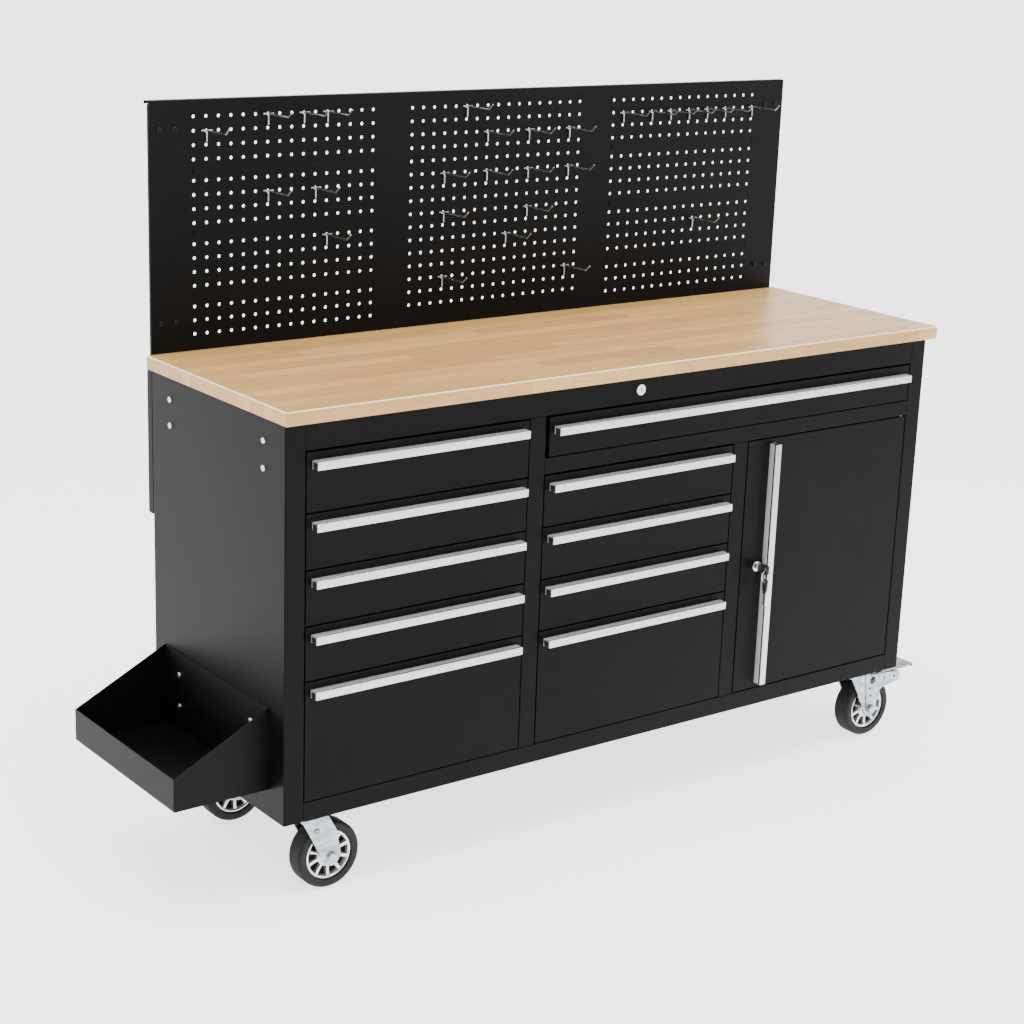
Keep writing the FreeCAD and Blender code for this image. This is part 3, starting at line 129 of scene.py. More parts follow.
class Finish:
    """One material: its nodes, and the surface shader that they feed."""

    def __init__(self, name, constants):
        self.material = bpy.data.materials.new(name)
        self.material.use_nodes = True
        self.tree = self.material.node_tree
        self.shader = self.tree.nodes["Principled BSDF"]
        self.set(constants)
        self.place = self.node("ShaderNodeTexCoord", {}, {}).outputs["Object"]
        split = self.node("ShaderNodeSeparateXYZ", {}, {"Vector": self.place})
        self.x, self.y, self.z = [Reading(self, socket) for socket in split.outputs]

    def feed(self, socket, value):
        """Link a reading or a socket, or set a plain value."""
        if isinstance(value, Reading):
            value = value.socket
        if isinstance(value, bpy.types.NodeSocket):
            self.tree.links.new(value, socket)
        else:
            socket.default_value = value

    def set(self, sockets):
        for name, value in sockets.items():
            self.feed(self.shader.inputs[name], value)

    def node(self, kind, settings, sockets):
        """Add a node: its settings first, then the values or links of its sockets."""
        made = self.tree.nodes.new(kind)
        for name, value in settings.items():
            setattr(made, name, value)
        for name, value in sockets.items():
            self.feed(made.inputs[name], value)
        return made

    def maths(self, operation, *values):
        made = self.node("ShaderNodeMath", {"operation": operation}, dict(enumerate(values)))
        return Reading(self, made.outputs[0])

    def floor(self, value):
        return self.maths("FLOOR", value)

    def part(self, value):
        """What is left of a value above its whole number."""
        return self.maths("FRACT", value)

    def between(self, low, high, value):
        """0 below low, 1 above high, and a smooth step between."""
        settings = {"interpolation_type": "SMOOTHSTEP"}
        made = self.node("ShaderNodeMapRange", settings, {"Value": value, "From Min": low, "From Max": high})
        return Reading(self, made.outputs[0])

    def vector(self, x, y, z):
        return self.node("ShaderNodeCombineXYZ", {}, {"X": x, "Y": y, "Z": z}).outputs[0]

    def stretched(self, x, y, z):
        """The object's coordinates, each times its own factor."""
        settings = {"operation": "MULTIPLY"}
        return self.node("ShaderNodeVectorMath", settings, {0: self.place, 1: (x, y, z)}).outputs[0]

    def moved(self, vector, shift):
        """A vector and a shift, added."""
        return self.node("ShaderNodeVectorMath", {"operation": "ADD"}, {0: vector, 1: shift}).outputs[0]

    def noise(self, vector, scale, detail=3.0, roughness=0.5):
        """Cloudy noise between 0 and 1."""
        sockets = {"Vector": vector, "Scale": scale, "Detail": detail, "Roughness": roughness}
        return Reading(self, self.node("ShaderNodeTexNoise", {}, sockets).outputs[0])

    def chance(self, x, y, z):
        """An even random number for each cell."""
        settings = {"noise_dimensions": "3D"}
        made = self.node("ShaderNodeTexWhiteNoise", settings, {"Vector": self.vector(x, y, z)})
        return Reading(self, made.outputs["Value"])

    def cells(self, scale):
        """An even random number for each crystal cell."""
        made = self.node("ShaderNodeTexVoronoi", {}, {"Vector": self.place, "Scale": scale})
        split = self.node("ShaderNodeSeparateColor", {}, {"Color": made.outputs["Color"]})
        return Reading(self, split.outputs[0])

    def attribute(self, name):
        return Reading(self, self.node("ShaderNodeAttribute", {"attribute_name": name}, {}).outputs["Fac"])

    def mix(self, factor, a, b):
        made = self.node("ShaderNodeMix", {"data_type": "RGBA"}, {0: factor, 6: a, 7: b})
        return made.outputs[2]

    def bump(self, height, distance, strength=1.0):
        """Raise the surface where the height is high."""
        sockets = {"Height": height, "Distance": distance, "Strength": strength}
        self.set({"Normal": self.node("ShaderNodeBump", {}, sockets).outputs["Normal"]})


def grey(level, warmth=0.0):
    """A grey, with more red and less blue as warmth goes up."""
    return (level * (1 + warmth), level, level * (1 - warmth), 1.0)


# ---- finishes -------------------------------------------------------------------------------------

def powder_coat(name, dark, light, roughness, grain, sheen):
    """Powder-coated steel: fine orange peel, a slow drift of gloss, and faint dust in the hollows of it."""
    made = Finish(name, {"Specular IOR Level": sheen})
    peel = made.noise(made.place, grain, 2.0, 0.55)
    drift = made.noise(made.place, 3.2, 3.0)
    dust = made.noise(made.place, 46.0, 4.0, 0.62)
    tone = made.between(0.3, 0.75, drift * 0.6 + dust * 0.4)
    made.set({"Base Color": made.mix(tone, dark, light)})
    made.set({"Roughness": roughness + 0.07 * (drift - 0.5) + 0.05 * (dust - 0.5) + 0.05 * (peel - 0.5)})
    made.bump(peel, 0.00012, 0.55)
    return made


STAVE_WIDTH = 0.041
STAVE_LENGTH = 0.31
STAVE_LENGTH_SPREAD = 0.09
FINGER_PITCH = 0.0088
HIGHLIGHT_BAND = 0.0019


def butcher_block():
    """Glued staves in rows: each of blocks with finger-jointed ends, and every block has its own tone.

    A row is y over the stave's width, cut to a whole number, and a block is x over that row's own length.
    The joint between two blocks zigzags with y.
    """
    constants = {"Specular IOR Level": 0.42, "Coat Roughness": 0.3, "Coat Weight": 0.12}
    made = Finish("oiled_butcher_block", constants)
    row_place = (made.y + 10.013) / STAVE_WIDTH
    row = made.floor(row_place)
    across = made.part(row_place)
    row_chance = made.chance(row, 3.7, 1.1)
    zigzag = abs(made.part(made.y / FINGER_PITCH) - 0.5)
    length = STAVE_LENGTH + STAVE_LENGTH_SPREAD * made.chance(row, 8.2, 5.5)
    along = (made.x + 7.0 + zigzag * 0.022) / length + row_chance * 9.0
    block = made.floor(along)
    end_gap = made.part(along) * length
    tone = made.chance(row, block, 0.5)
    warm = made.chance(row, block, 6.5)
    shift = made.vector(tone * 31.0, warm * 17.0, row_chance * 23.0)
    figure = made.noise(made.moved(made.stretched(2.1, 62.0, 62.0), shift), 1.0, 5.0, 0.58)
    fibre = made.noise(made.moved(made.stretched(9.0, 900.0, 900.0), shift), 1.0, 2.0, 0.6)
    flecks = made.between(0.6, 0.72, made.noise(made.stretched(60.0, 1500.0, 1500.0), 1.0, 1.0))
    rings = abs(made.part(figure * 5.0) - 0.5) * 2.0
    glue = made.between(0.0, 0.03, across) * made.between(0.0, 0.03, 1 - across)
    joint = made.between(0.0, 0.0009, end_gap)
    seam = glue * (0.4 + 0.6 * joint)
    pale = made.mix(tone, (0.6, 0.345, 0.1, 1), (0.4, 0.205, 0.05, 1))
    red = made.mix(made.between(0.72, 1.0, warm) * 0.62, pale, (0.34, 0.152, 0.058, 1))
    figured = made.mix(rings * 0.34 + made.between(0.45, 0.8, figure) * 0.34, red, (0.33, 0.158, 0.055, 1))
    grained = made.mix(fibre * 0.42, figured, (0.68, 0.43, 0.16, 1))
    flecked = made.mix(flecks * 0.5, grained, (0.26, 0.13, 0.06, 1))
    joined = made.mix((1 - seam) * 0.7, flecked, (0.15, 0.07, 0.03, 1))
    # Painted highlight: a pale band along the top's outer edges, where a lit edge would catch the light.
    low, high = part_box("worktop")
    from_side = made.maths("MINIMUM", made.x - low.x, high.x - made.x)
    from_edge = made.maths("MINIMUM", from_side, made.y - low.y)
    painted_arris_highlight = (from_edge < HIGHLIGHT_BAND) * (made.z > high.z - HIGHLIGHT_BAND)
    made.set({"Base Color": made.mix(painted_arris_highlight * 0.75, joined, (0.95, 0.85, 0.68, 1))})
    made.set({"Roughness": 0.36 + 0.14 * fibre + 0.08 * rings + 0.1 * (1 - seam)})
    made.bump(fibre * 0.5 + flecks * -0.5 + seam * 0.8, 0.00015, 0.5)
    return made


def brushed(name, direction, level, roughness):
    """Satin aluminium: hair lines along one axis, over a slow change of shade, with painted shade in the
    groove and on the lip's face.
    """
    made = Finish(name, {})
    scale = [1400.0, 1400.0, 1400.0]
    scale[direction] = 7.0
    hair = made.noise(made.stretched(*scale), 1.0, 2.0, 0.6)
    cloud = made.noise(made.place, 11.0, 2.0)
    metal = made.mix(hair * 0.5 + cloud * 0.3, grey(level * 0.88), grey(level))
    # The shade mark is painted shade: near black in the pull's groove, and a faint darkening on the lip's
    # front face.
    shade = made.attribute("shade")
    made.set({"Base Color": made.mix(shade, metal, grey(0.006))})
    made.set({"Metallic": 0.72 - 0.6 * made.between(0.4, 0.9, shade)})
    made.set({"Roughness": roughness + 0.1 * (hair - 0.5) + 0.06 * (cloud - 0.5)})
    made.bump(hair, 0.00003, 0.4)
    return made


def zinc_plate():
    """Bright zinc: small crystal cells of slightly different gloss, a cool and warm drift, light scuffs."""
    made = Finish("bright_zinc", {"Metallic": 1.0})
    cell = made.cells(330.0)
    drift = made.noise(made.place, 24.0, 3.0)
    scuff = made.between(0.62, 0.7, made.noise(made.stretched(500.0, 500.0, 60.0), 1.0, 2.0))
    smear = made.between(0.4, 0.62, made.noise(made.stretched(30.0, 30.0, 75.0), 1.0, 3.0, 0.55))
    cool = made.mix(cell * 0.45 + drift * 0.4, (0.3, 0.345, 0.38, 1), (0.56, 0.59, 0.615, 1))
    smeared = made.mix(smear * 0.55, cool, (0.17, 0.2, 0.22, 1))
    made.set({"Base Color": made.mix(made.between(0.55, 0.8, drift) * 0.3, smeared, (0.55, 0.52, 0.44, 1))})
    made.set({"Roughness": 0.25 + 0.14 * cell + 0.1 * scuff + 0.1 * (drift - 0.5)})
    made.bump(cell * 0.5 + scuff * -0.6 + smear * 0.4, 0.00008, 0.5)
    return made


def chrome():
    """Polished plate with fine wiping marks."""
    made = Finish("polished_chrome", {"Metallic": 1.0})
    marks = made.noise(made.stretched(900.0, 120.0, 240.0), 1.0, 3.0)
    made.set({"Base Color": made.mix(marks, grey(0.55), grey(0.68)), "Roughness": 0.1 + 0.12 * marks})
    return made


LOCK_FLANGE_R = 0.0108
PLUG_GAP_SHADE = (0.0058, 0.0064)
KEYWAY_HALF = (0.0009, 0.0042)
SPARE_BLADE = 0.024


def middle_of(node):
    """The middle of a part's box."""
    low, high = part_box(node)
    return (low + high) / 2


def lock_plug(node, round_it):
    """Turned plate on a lock's plug: fine rings round its middle, with painted shade for the key slot in it
    and a painted shadow ring in the gap round its edge.
    """
    made = Finish(node + "_plate", {})
    centre = middle_of(round_it)
    away = ((made.x - centre.x) ** 2 + (made.z - centre.z) ** 2) ** 0.5
    rings = made.noise(made.vector(away * 2600.0, 0.0, 0.0), 1.0, 1.0)
    # Painted shade: a black slot where the key goes, and a dark ring for the gap round the plug's edge.
    keyway_shade = (abs(made.x - centre.x) < KEYWAY_HALF[0]) * (abs(made.z - centre.z) < KEYWAY_HALF[1])
    edge = made.between(*PLUG_GAP_SHADE, away)
    made.set({"Base Color": made.mix(made.maths("MAXIMUM", keyway_shade, edge * 0.9), grey(0.5), grey(0.01))})
    made.set({"Metallic": 1 - keyway_shade, "Roughness": 0.16 + 0.14 * rings + 0.4 * keyway_shade})
    return made


def steel_screws():
    """Bright screws on the side and in the bin; the ones that hold the board and its legs are blackened."""
    made = Finish("screw_steel", {"Specular IOR Level": 0.2})
    turned = made.noise(made.place, 900.0, 2.0)
    worktop_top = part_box("worktop")[1].z
    back_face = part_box("back_panel")[0].y
    side_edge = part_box("side_panel_left")[0].x + 0.012
    black = made.maths("MAXIMUM", made.z > worktop_top, (made.y > back_face) * (made.x > side_edge))
    made.set({"Base Color": made.mix(black, grey(0.72), grey(0.004)), "Metallic": 1 - black * 0.9})
    made.set({"Roughness": 0.24 + 0.14 * turned + 0.2 * black})
    made.bump(turned, 0.00005, 0.3)
    return made


def door_coat():
    """The door's coat, with bright plate on the lock's flange and barrel."""
    made = powder_coat("cabinet_black_door", BLACK_DARK, BLACK_LIGHT, BLACK_GLOSS, BLACK_GRAIN, BLACK_SHEEN)
    centre = middle_of("door_key")
    away = ((made.x - centre.x) ** 2 + (made.z - centre.z) ** 2) ** 0.5
    lock = (away < LOCK_FLANGE_R) * (made.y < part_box("drawer_left_1")[0].y - 0.00002)
    rings = made.noise(made.vector(away * 1800.0, 0.0, 0.0), 1.0, 1.0)
    plated = made.mix(rings, grey(0.6), grey(0.82))
    sockets = {"Base Color": plated, "Metallic": 1.0, "Roughness": 0.16}
    bright = made.node("ShaderNodeBsdfPrincipled", {}, sockets)
    out = made.tree.nodes["Material Output"]
    mixed = made.node("ShaderNodeMixShader", {}, {0: lock, 1: made.shader.outputs[0], 2: bright.outputs[0]})
    made.feed(out.inputs["Surface"], mixed.outputs[0])
    return made


def rubber():
    """Black rubber: matt, finely pitted, greyer and dustier where it runs on the floor."""
    made = Finish("tyre_rubber", {"Specular IOR Level": 0.22})
    pits = made.noise(made.place, 1300.0, 2.0)
    dust = made.between(0.35, 0.75, made.noise(made.place, 70.0, 4.0, 0.6))
    tread = made.attribute("tread")
    made.set({"Base Color": made.mix(tread * dust * 0.5, grey(0.0042), (0.03, 0.028, 0.025, 1))})
    made.set({"Roughness": 0.5 + 0.22 * tread + 0.12 * (pits - 0.5) + 0.06 * dust})
    made.bump(pits, 0.0001, 0.5)
    return made


def rim_metal():
    """Bright cast rim: satin faces, and painted shade in the windows."""
    made = Finish("cast_rim", {})
    window_shade_mark = made.attribute("window_shade_mark")
    cast = made.noise(made.place, 420.0, 3.0)
    # Painted shade: the windows turn near black and rough, as if in shadow.
    painted_window_shade = made.between(0.12, 0.75, window_shade_mark)
    made.set({"Base Color": made.mix(painted_window_shade, made.mix(cast, grey(0.6), grey(0.74)), grey(0.002))})
    made.set({"Metallic": 1 - painted_window_shade * 0.9, "Roughness": 0.2 + 0.14 * cast + 0.5 * painted_window_shade})
    made.bump(cast, 0.00006, 0.35)
    return made


def rivet_steel():
    """Riveted pivot: a bright head in a browned washer ring."""
    made = Finish("rivet_and_washer", {"Metallic": 0.9})
    washer = made.attribute("washer")
    stain = made.noise(made.place, 700.0, 3.0)
    brown = made.mix(stain, (0.05, 0.024, 0.018, 1), (0.12, 0.06, 0.04, 1))
    made.set({"Base Color": made.mix(washer, grey(0.55), brown)})
    made.set({"Roughness": 0.26 + 0.2 * stain})
    made.bump(stain, 0.00004, 0.4)
    return made


def knob_face():
    """Black domed cap in a bright ring: everything inside the ring's seat is black."""
    made = Finish("knob_cap_and_ring", {})
    outer = made.attribute("outer")
    worn = made.noise(made.place, 420.0, 3.0)
    made.set({"Base Color": made.mix(outer, grey(0.006), made.mix(worn, grey(0.5), grey(0.72)))})
    made.set({"Metallic": outer, "Roughness": 0.22 + 0.12 * worn})
    made.bump(worn, 0.00005, 0.3)
    return made


def moulded_black(name):
    """Moulded plastic: fine grain over a slow change of shade."""
    made = Finish(name, {"Specular IOR Level": 0.5})
    grain = made.noise(made.place, 1700.0, 2.0)
    cloud = made.noise(made.place, 60.0, 2.0)
    made.set({"Base Color": made.mix(cloud, grey(0.009), grey(0.016)), "Roughness": 0.36 + 0.16 * grain})
    made.bump(grain, 0.00006, 0.5)
    return made


def key_finish(node):
    """Moulded head on a bright blade: what lies behind the root, or under it on the key that hangs."""
    made = Finish(node + "_black_and_steel", {})
    if node == "door_key":
        blade = made.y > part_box("door_lock_plug")[0].y - 0.003
    else:
        blade = made.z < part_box(node)[0].z + SPARE_BLADE
    grain = made.noise(made.place, 1500.0, 2.0)
    made.set({"Base Color": made.mix(blade, grey(0.012), grey(0.7)), "Metallic": blade * 1.0})
    made.set({"Roughness": 0.34 + 0.14 * grain - 0.1 * blade})
    made.bump(grain, 0.00005, 0.4)
    return made


BLACK_DARK = grey(0.0016, -0.03)
BLACK_LIGHT = grey(0.0036, -0.03)
BLACK_GLOSS = 0.37
BLACK_GRAIN = 1500.0
BLACK_SHEEN = 0.06

cabinet_black = powder_coat(
    "cabinet_black_coat", BLACK_DARK, BLACK_LIGHT, BLACK_GLOSS, BLACK_GRAIN, BLACK_SHEEN,
)
board_black = powder_coat("board_black_coat", grey(0.0014), grey(0.003), 0.48, 1900.0, 0.09)
wood = butcher_block()
pull_along_x = brushed("satin_aluminium_x", 0, 0.93, 0.4)
pull_along_z = brushed("satin_aluminium_z", 2, 0.93, 0.4)
zinc = zinc_plate()
plate = chrome()
screws = steel_screws()
door_black = door_coat()
tyre_black = rubber()
rim_bright = rim_metal()
rivet_finish = rivet_steel()
knob_finish = knob_face()
cap_black = moulded_black("pull_cap_plastic")
door_plug = lock_plug("door_lock_plug", "door_key")
drawer_plug = lock_plug("drawer_lock_plug", "drawer_lock_housing")

FINISHES = {
    "wood_top": wood,
    "cabinet_black": cabinet_black,
    "board_black": board_black,
    "zinc_steel": zinc,
    "lock_chrome": plate,
}
OWN_FINISHES = {
    "door": door_black,
    "door_key": key_finish("door_key"),
    "spare_key": key_finish("spare_key"),
    "door_lock_plug": door_plug,
    "drawer_lock_plug": drawer_plug,
    "screws_and_pins": screws,
}


# ---- surfaces -------------------------------------------------------------------------------------

def rounded(corners, radii, steps=7):
    """Closed outline (n, 2): each corner becomes an arc of its radius, tangent to both of its sides."""
    points = []
    corners = np.array(corners, float)
    for index, radius in enumerate(radii):
        corner = corners[index]
        back = corners[index - 1] - corner
        ahead = corners[(index + 1) % len(corners)] - corner
        back /= np.linalg.norm(back)
        ahead /= np.linalg.norm(ahead)
        if radius == 0:
            points.append(corner[None])
            continue
        half = math.acos(float(np.clip(back @ ahead, -1, 1))) / 2
        middle = (back + ahead) / np.linalg.norm(back + ahead)
        centre = corner + middle * radius / math.sin(half)
        start = corner + back * radius / math.tan(half) - centre
        end = corner + ahead * radius / math.tan(half) - centre
        t = np.linspace(0, 1, steps)[:, None]
        chord = start * (1 - t) + end * t
        points.append(centre + chord / np.linalg.norm(chord, axis=1)[:, None] * radius)
    return np.concatenate(points)


def spaced(outline, step):
    """The same closed outline with more points: none further than one step from the next."""
    closed = np.vstack([outline, outline[:1]])
    runs = np.linalg.norm(np.diff(closed, axis=0), axis=1)
    counts = np.maximum(1, np.ceil(runs / step - 1e-6)).astype(int)
    which = np.repeat(np.arange(len(runs)), counts)
    within = (np.arange(counts.sum()) - np.repeat(np.cumsum(counts) - counts, counts)) / counts[which]
    return closed[which] * (1 - within[:, None]) + closed[which + 1] * within[:, None]


def sheet_of(name, points, finish, closed_ends=False, sharp=35.0, marks=None):
    """Mesh from a grid (u, v, 3), closed along v, and along u too unless a face closes each end."""
    rows, columns = points.shape[:2]
    u_count = rows - 1 if closed_ends else rows
    u = np.arange(u_count)[:, None]
    v = np.arange(columns)[None]
    after_u = (u + 1) % rows
    after_v = (v + 1) % columns
    here = u * columns
    there = after_u * columns
    quads = np.stack([here + v, there + v, there + after_v, here + after_v], -1)
    faces = quads.reshape(-1, 4).tolist()
    if closed_ends:
        faces.append(list(range(columns)))
        faces.append(list(range(rows * columns - 1, (rows - 1) * columns - 1, -1)))
    mesh = bpy.data.meshes.new(name)
    mesh.from_pydata(points.reshape(-1, 3).tolist(), [], faces)
    mesh.update()
    if signed_volume(mesh) < 0:
        mesh.flip_normals()
    for label, values in (marks or {}).items():
        mark = mesh.attributes.new(label, "FLOAT", "POINT")
        mark.data.foreach_set("value", np.ascontiguousarray(values.reshape(-1), np.float32))
    mesh.polygons.foreach_set("use_smooth", np.ones(len(mesh.polygons), bool))
    mesh.set_sharp_from_angle(angle=math.radians(sharp))
    mesh.materials.append(finish.material)
    piece = bpy.data.objects.new(name, mesh)
    bpy.context.scene.collection.objects.link(piece)
    return piece


def signed_volume(mesh):
    """Sum over the triangles of corner a dot (b cross c), over 6: positive if the faces point outwards."""
    mesh.calc_loop_triangles()
    place = np.empty(len(mesh.vertices) * 3, np.float32)
    mesh.vertices.foreach_get("co", place)
    place = place.reshape(-1, 3).astype(float)
    place -= place.mean(0)
    corners = np.empty(len(mesh.loop_triangles) * 3, np.int32)
    mesh.loop_triangles.foreach_get("vertices", corners)
    a, b, c = (place[corners.reshape(-1, 3)[:, k]] for k in range(3))
    return float(np.einsum("ij,ij->i", a, np.cross(b, c)).sum()) / 6


def smooth(low, high, value):
    """0 below low, 1 above high, and 3 t squared less 2 t cubed between."""
    t = np.clip((value - low) / (high - low), 0, 1)
    return t * t * (3 - 2 * t)


def finish_piece(piece, body, replaced):
    """Say what a piece rides on, which frame parts it stands for."""
    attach(piece, body)
    if replaced:
        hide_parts(*replaced)


# ---- drawer and door pulls ------------------------------------------------------------------------

WALL = 2.2 * MM
LEG = 1.5 * MM
CAP = 6 * MM
GROOVE_FROM_LIP = 1.9 * MM
GROOVE_HALF = 2.3 * MM


def pull_section(reach, drop):
    """Section of a pull, out from the face and down from its top: flange with a fine groove, lip, and leg."""
    lip = reach - WALL
    groove = lip - GROOVE_FROM_LIP
    corners = [
        (0, 0), (0, drop), (LEG, drop), (LEG, WALL), (lip, WALL), (lip, drop), (reach, drop), (reach, 0),
        (groove + GROOVE_HALF, 0), (groove + 0.9 * GROOVE_HALF, 0.6 * MM),
        (groove - 0.9 * GROOVE_HALF, 0.6 * MM), (groove - GROOVE_HALF, 0),
    ]
    radii = [0.3, 0.4, 0.4, 0.9, 0.9, 0.6, 0.9, 0.5, 0.12, 0.1, 0.1, 0.12]
    return rounded(corners, [radius * MM for radius in radii], 6)


def carried(section, stations, insets, place):
    """A section carried along a line: at each station it is drawn in towards its middle by that inset."""
    middle = (section.min(0) + section.max(0)) / 2
    half = (section.max(0) - section.min(0)) / 2
    shrink = 1 - np.array(insets)[:, None, None] / half[None, None]
    shaped = middle + (section - middle)[None] * shrink
    along = np.repeat(np.array(stations)[:, None], len(section), 1)
    return place(along, shaped[..., 0], shaped[..., 1])


def pull(node, body, upright):
    """Aluminium pull and its two black end plugs, where the frame's pull is."""
    low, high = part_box(node)
    face = high.y
    reach = face - low.y
    drop = high.x - low.x if upright else high.z - low.z
    start, end = (low.z, high.z) if upright else (low.x, high.x)

    def place(along, out, down):
        """Points from a distance along the pull, out from its face and down from its top."""
        if upright:
            return np.stack([low.x + down, face - out, along], -1)
        return np.stack([along, face - out, high.z - down], -1)

    length = end - start
    stations = [start, start + 0.0002, start + length / 2, end - 0.0002, end]
    section = pull_section(reach, drop)
    bar = carried(section, stations, [0.0001, 0, 0, 0, 0.0001], place)
    out, down = section[:, 0], section[:, 1]
    on_flange = np.abs(out - reach + WALL + GROOVE_FROM_LIP) < GROOVE_HALF - 0.05 * MM
    groove = on_flange * (down > 0.03 * MM) * (down < 1.5 * MM)
    lip = smooth(reach - 0.3 * MM, reach - 0.1 * MM, out)
    # Painted shade: the whole groove, and 0.3 of it on the lip's front face.
    shade = np.maximum(groove, 0.3 * lip)
    finish = pull_along_z if upright else pull_along_x
    marks = {"shade": np.repeat(shade[None], len(stations), 0)}
    bar_piece = sheet_of(node + "_bar", bar, finish, closed_ends=True, sharp=40.0, marks=marks)
    finish_piece(bar_piece, body, [node])

    gap = 0.05 * MM
    u0, u1 = LEG + gap, reach - WALL - gap
    v0, v1 = WALL + gap, drop - 0.3 * MM
    section = rounded([(u0, v0), (u0, v1), (u1, v1), (u1, v0)], [0.9 * MM] * 4, 6)
    edges = [0, 0.0003, 0.0008]
    insets = [0.0007, 0.0002, 0]
    for end_name, origin, way in (("start", start + 0.0002, 1), ("end", end - 0.0002, -1)):
        along = [origin + way * s for s in edges] + [origin + way * CAP]
        cap = carried(section, along, insets + [0], place)
        piece = sheet_of(node + "_cap_" + end_name, cap, cap_black, closed_ends=True, sharp=50.0)
        finish_piece(piece, body, [])


for body in frame["bodies"]:
    if body.startswith("drawer_") and body != "drawer_lock":
        pull(body.replace("drawer_", "handle_"), body, False)
pull("door_handle", "door", True)


# ---- caster wheels --------------------------------------------------------------------------------

WHEEL_R = 63.5 * MM
RIM_R = 47 * MM
TYRE_HALF = 20 * MM
SPOKES = 10
HALF_SECTOR = math.pi / SPOKES
WINDOW_IN = 23 * MM
WINDOW_OUT = 40.5 * MM
POCKET_FLOOR = 3 * MM


def turned(centre, radius, angle, across):
    """Points at a radius and angle round the axle, and at a distance along it."""
    x = centre.x + radius * np.cos(angle)
    z = centre.z + radius * np.sin(angle)
    return np.stack([x, centre.y + across, z], -1)


def tyre(centre, label):
    """Turned section: rounded shoulders, two shallow grooves round the tread and one in each side wall."""
    half = TYRE_HALF
    corners = [(RIM_R + 0.05 * MM, -half), (RIM_R + 0.05 * MM, half), (WHEEL_R, half), (WHEEL_R, -half)]
    section = spaced(rounded(corners, [2 * MM, 2 * MM, 7 * MM, 7 * MM], 10), 1.1 * MM)
    radius, across = section[:, 0], section[:, 1]
    on_tread = smooth(58 * MM, 62 * MM, radius)
    for groove in (-6.5 * MM, 6.5 * MM):
        radius = radius - on_tread * 0.7 * MM * np.exp(-((across - groove) / (0.8 * MM)) ** 2)
    on_wall = smooth(17 * MM, 19.5 * MM, np.abs(across))
    dent = 0.6 * MM * np.exp(-((radius - 52 * MM) / (0.9 * MM)) ** 2)
    across = across - np.sign(across) * on_wall * dent
    angle = np.linspace(0, 2 * math.pi, 112, endpoint=False)[:, None]
    points = turned(centre, radius[None] + 0 * angle, angle, across[None] + 0 * angle)
    marks = {"tread": np.repeat(on_tread[None], len(angle), 0)}
    return sheet_of("tyre_" + label, points, tyre_black, sharp=60.0, marks=marks)


# The rim's face from the bore outwards: radius, and half width there, in millimetres.
RIM_HUB = [
    (5.15, 21.5), (5.6, 22.2), (8, 22.3), (11, 22.3), (12.4, 22), (13, 21), (13.8, 17.5), (15.5, 15.6),
    (18, 14.9),
]
RIM_SPOKE = [
    (21.4, 14.4), (22.4, 14.2), (22.9, 14.1), (23.4, 14), (26, 13.5), (30, 13.4), (34, 13.7), (38, 14.4),
]
RIM_LIP = [
    (39.4, 14.7), (40.1, 14.9), (40.6, 15), (41.2, 15.3), (42, 16.2), (42.8, 17), (45.4, 17),
    (46.4, 16.6), (46.9, 15.6),
]


def rim(centre, label):
    """Spoked rim on (path across the rim, angle): |y| follows the radius, and dips inside each window.

    The window's half width grows evenly with the radius. Half a sector is divided at the window's edge, so
    grid lines lie on that edge at every radius.
    """
    radii, heights = np.array(RIM_HUB + RIM_SPOKE + RIM_LIP).T * MM
    radius = np.concatenate([radii, radii[::-1]])[:, None]
    height = np.concatenate([heights, heights[::-1]])[:, None]
    side = np.concatenate([-np.ones(len(radii)), np.ones(len(radii))])[:, None]
    step = np.array([0, 0.3, 0.42, 0.46, 0.5, 0.56, 0.7, 0.85])
    half = np.concatenate([step, [1.0], step[:0:-1]])
    sign = np.concatenate([np.ones(len(step) + 1), -np.ones(len(step) - 1)])
    t = np.tile(half, SPOKES)[None]
    flip = np.tile(sign, SPOKES)[None]
    middle = np.repeat(np.arange(SPOKES), len(half))[None] * 2 * HALF_SECTOR
    grow = np.clip((radius - WINDOW_IN) / (WINDOW_OUT - WINDOW_IN), 0, 1)
    narrow = 0.62 * WINDOW_IN * math.tan(HALF_SECTOR)
    broad = WINDOW_OUT * math.tan(HALF_SECTOR) - 3.2 * MM
    edge = np.arctan2(narrow + (broad - narrow) * grow, radius)
    inside = t / 0.5 * edge
    outside = edge + (t - 0.5) / 0.5 * (HALF_SECTOR - edge)
    angle = middle + flip * np.where(t < 0.5, inside, outside) + np.where(flip > 0, 0, 2 * HALF_SECTOR)
    in_window = smooth(22.4 * MM, 23.4 * MM, radius) * (1 - smooth(40 * MM, 41 * MM, radius))
    window = (1 - smooth(0.42, 0.5, t)) * in_window
    on_spoke = smooth(18 * MM, 24 * MM, radius) * (1 - smooth(36 * MM, 41 * MM, radius))
    crown = 0.5 * MM * smooth(0.5, 1.0, t) * on_spoke
    depth = (height + crown) * (1 - window) + POCKET_FLOOR * window
    points = turned(centre, radius + 0 * angle, angle + 0 * radius, side * depth)
    # The mark over the windows is painted shade for the rim's finish.
    return sheet_of("rim_" + label, points, rim_bright, sharp=42.0, marks={"window_shade_mark": window + 0 * angle})


def button(centre, out, profile, name, finish, count=36):
    """A turned button on a face: each (radius, height) of its profile goes round the y axis, outwards."""
    radius = np.array([p[0] for p in profile])[:, None] * MM
    height = np.array([p[1] for p in profile])[:, None] * MM
    angle = np.linspace(0, 2 * math.pi, count, endpoint=False)[None]
    points = turned(centre, radius + 0 * angle, angle + 0 * radius, out * height + 0 * angle)
    washer = smooth(3.0 * MM, 3.3 * MM, radius) + 1 - smooth(0.6 * MM, 1.0 * MM, radius) + 0 * angle
    outer = smooth(8.7 * MM, 8.9 * MM, radius) + 0 * angle
    marks = {"washer": washer, "outer": outer}
    return sheet_of(name, points, finish, closed_ends=True, sharp=35.0, marks=marks)


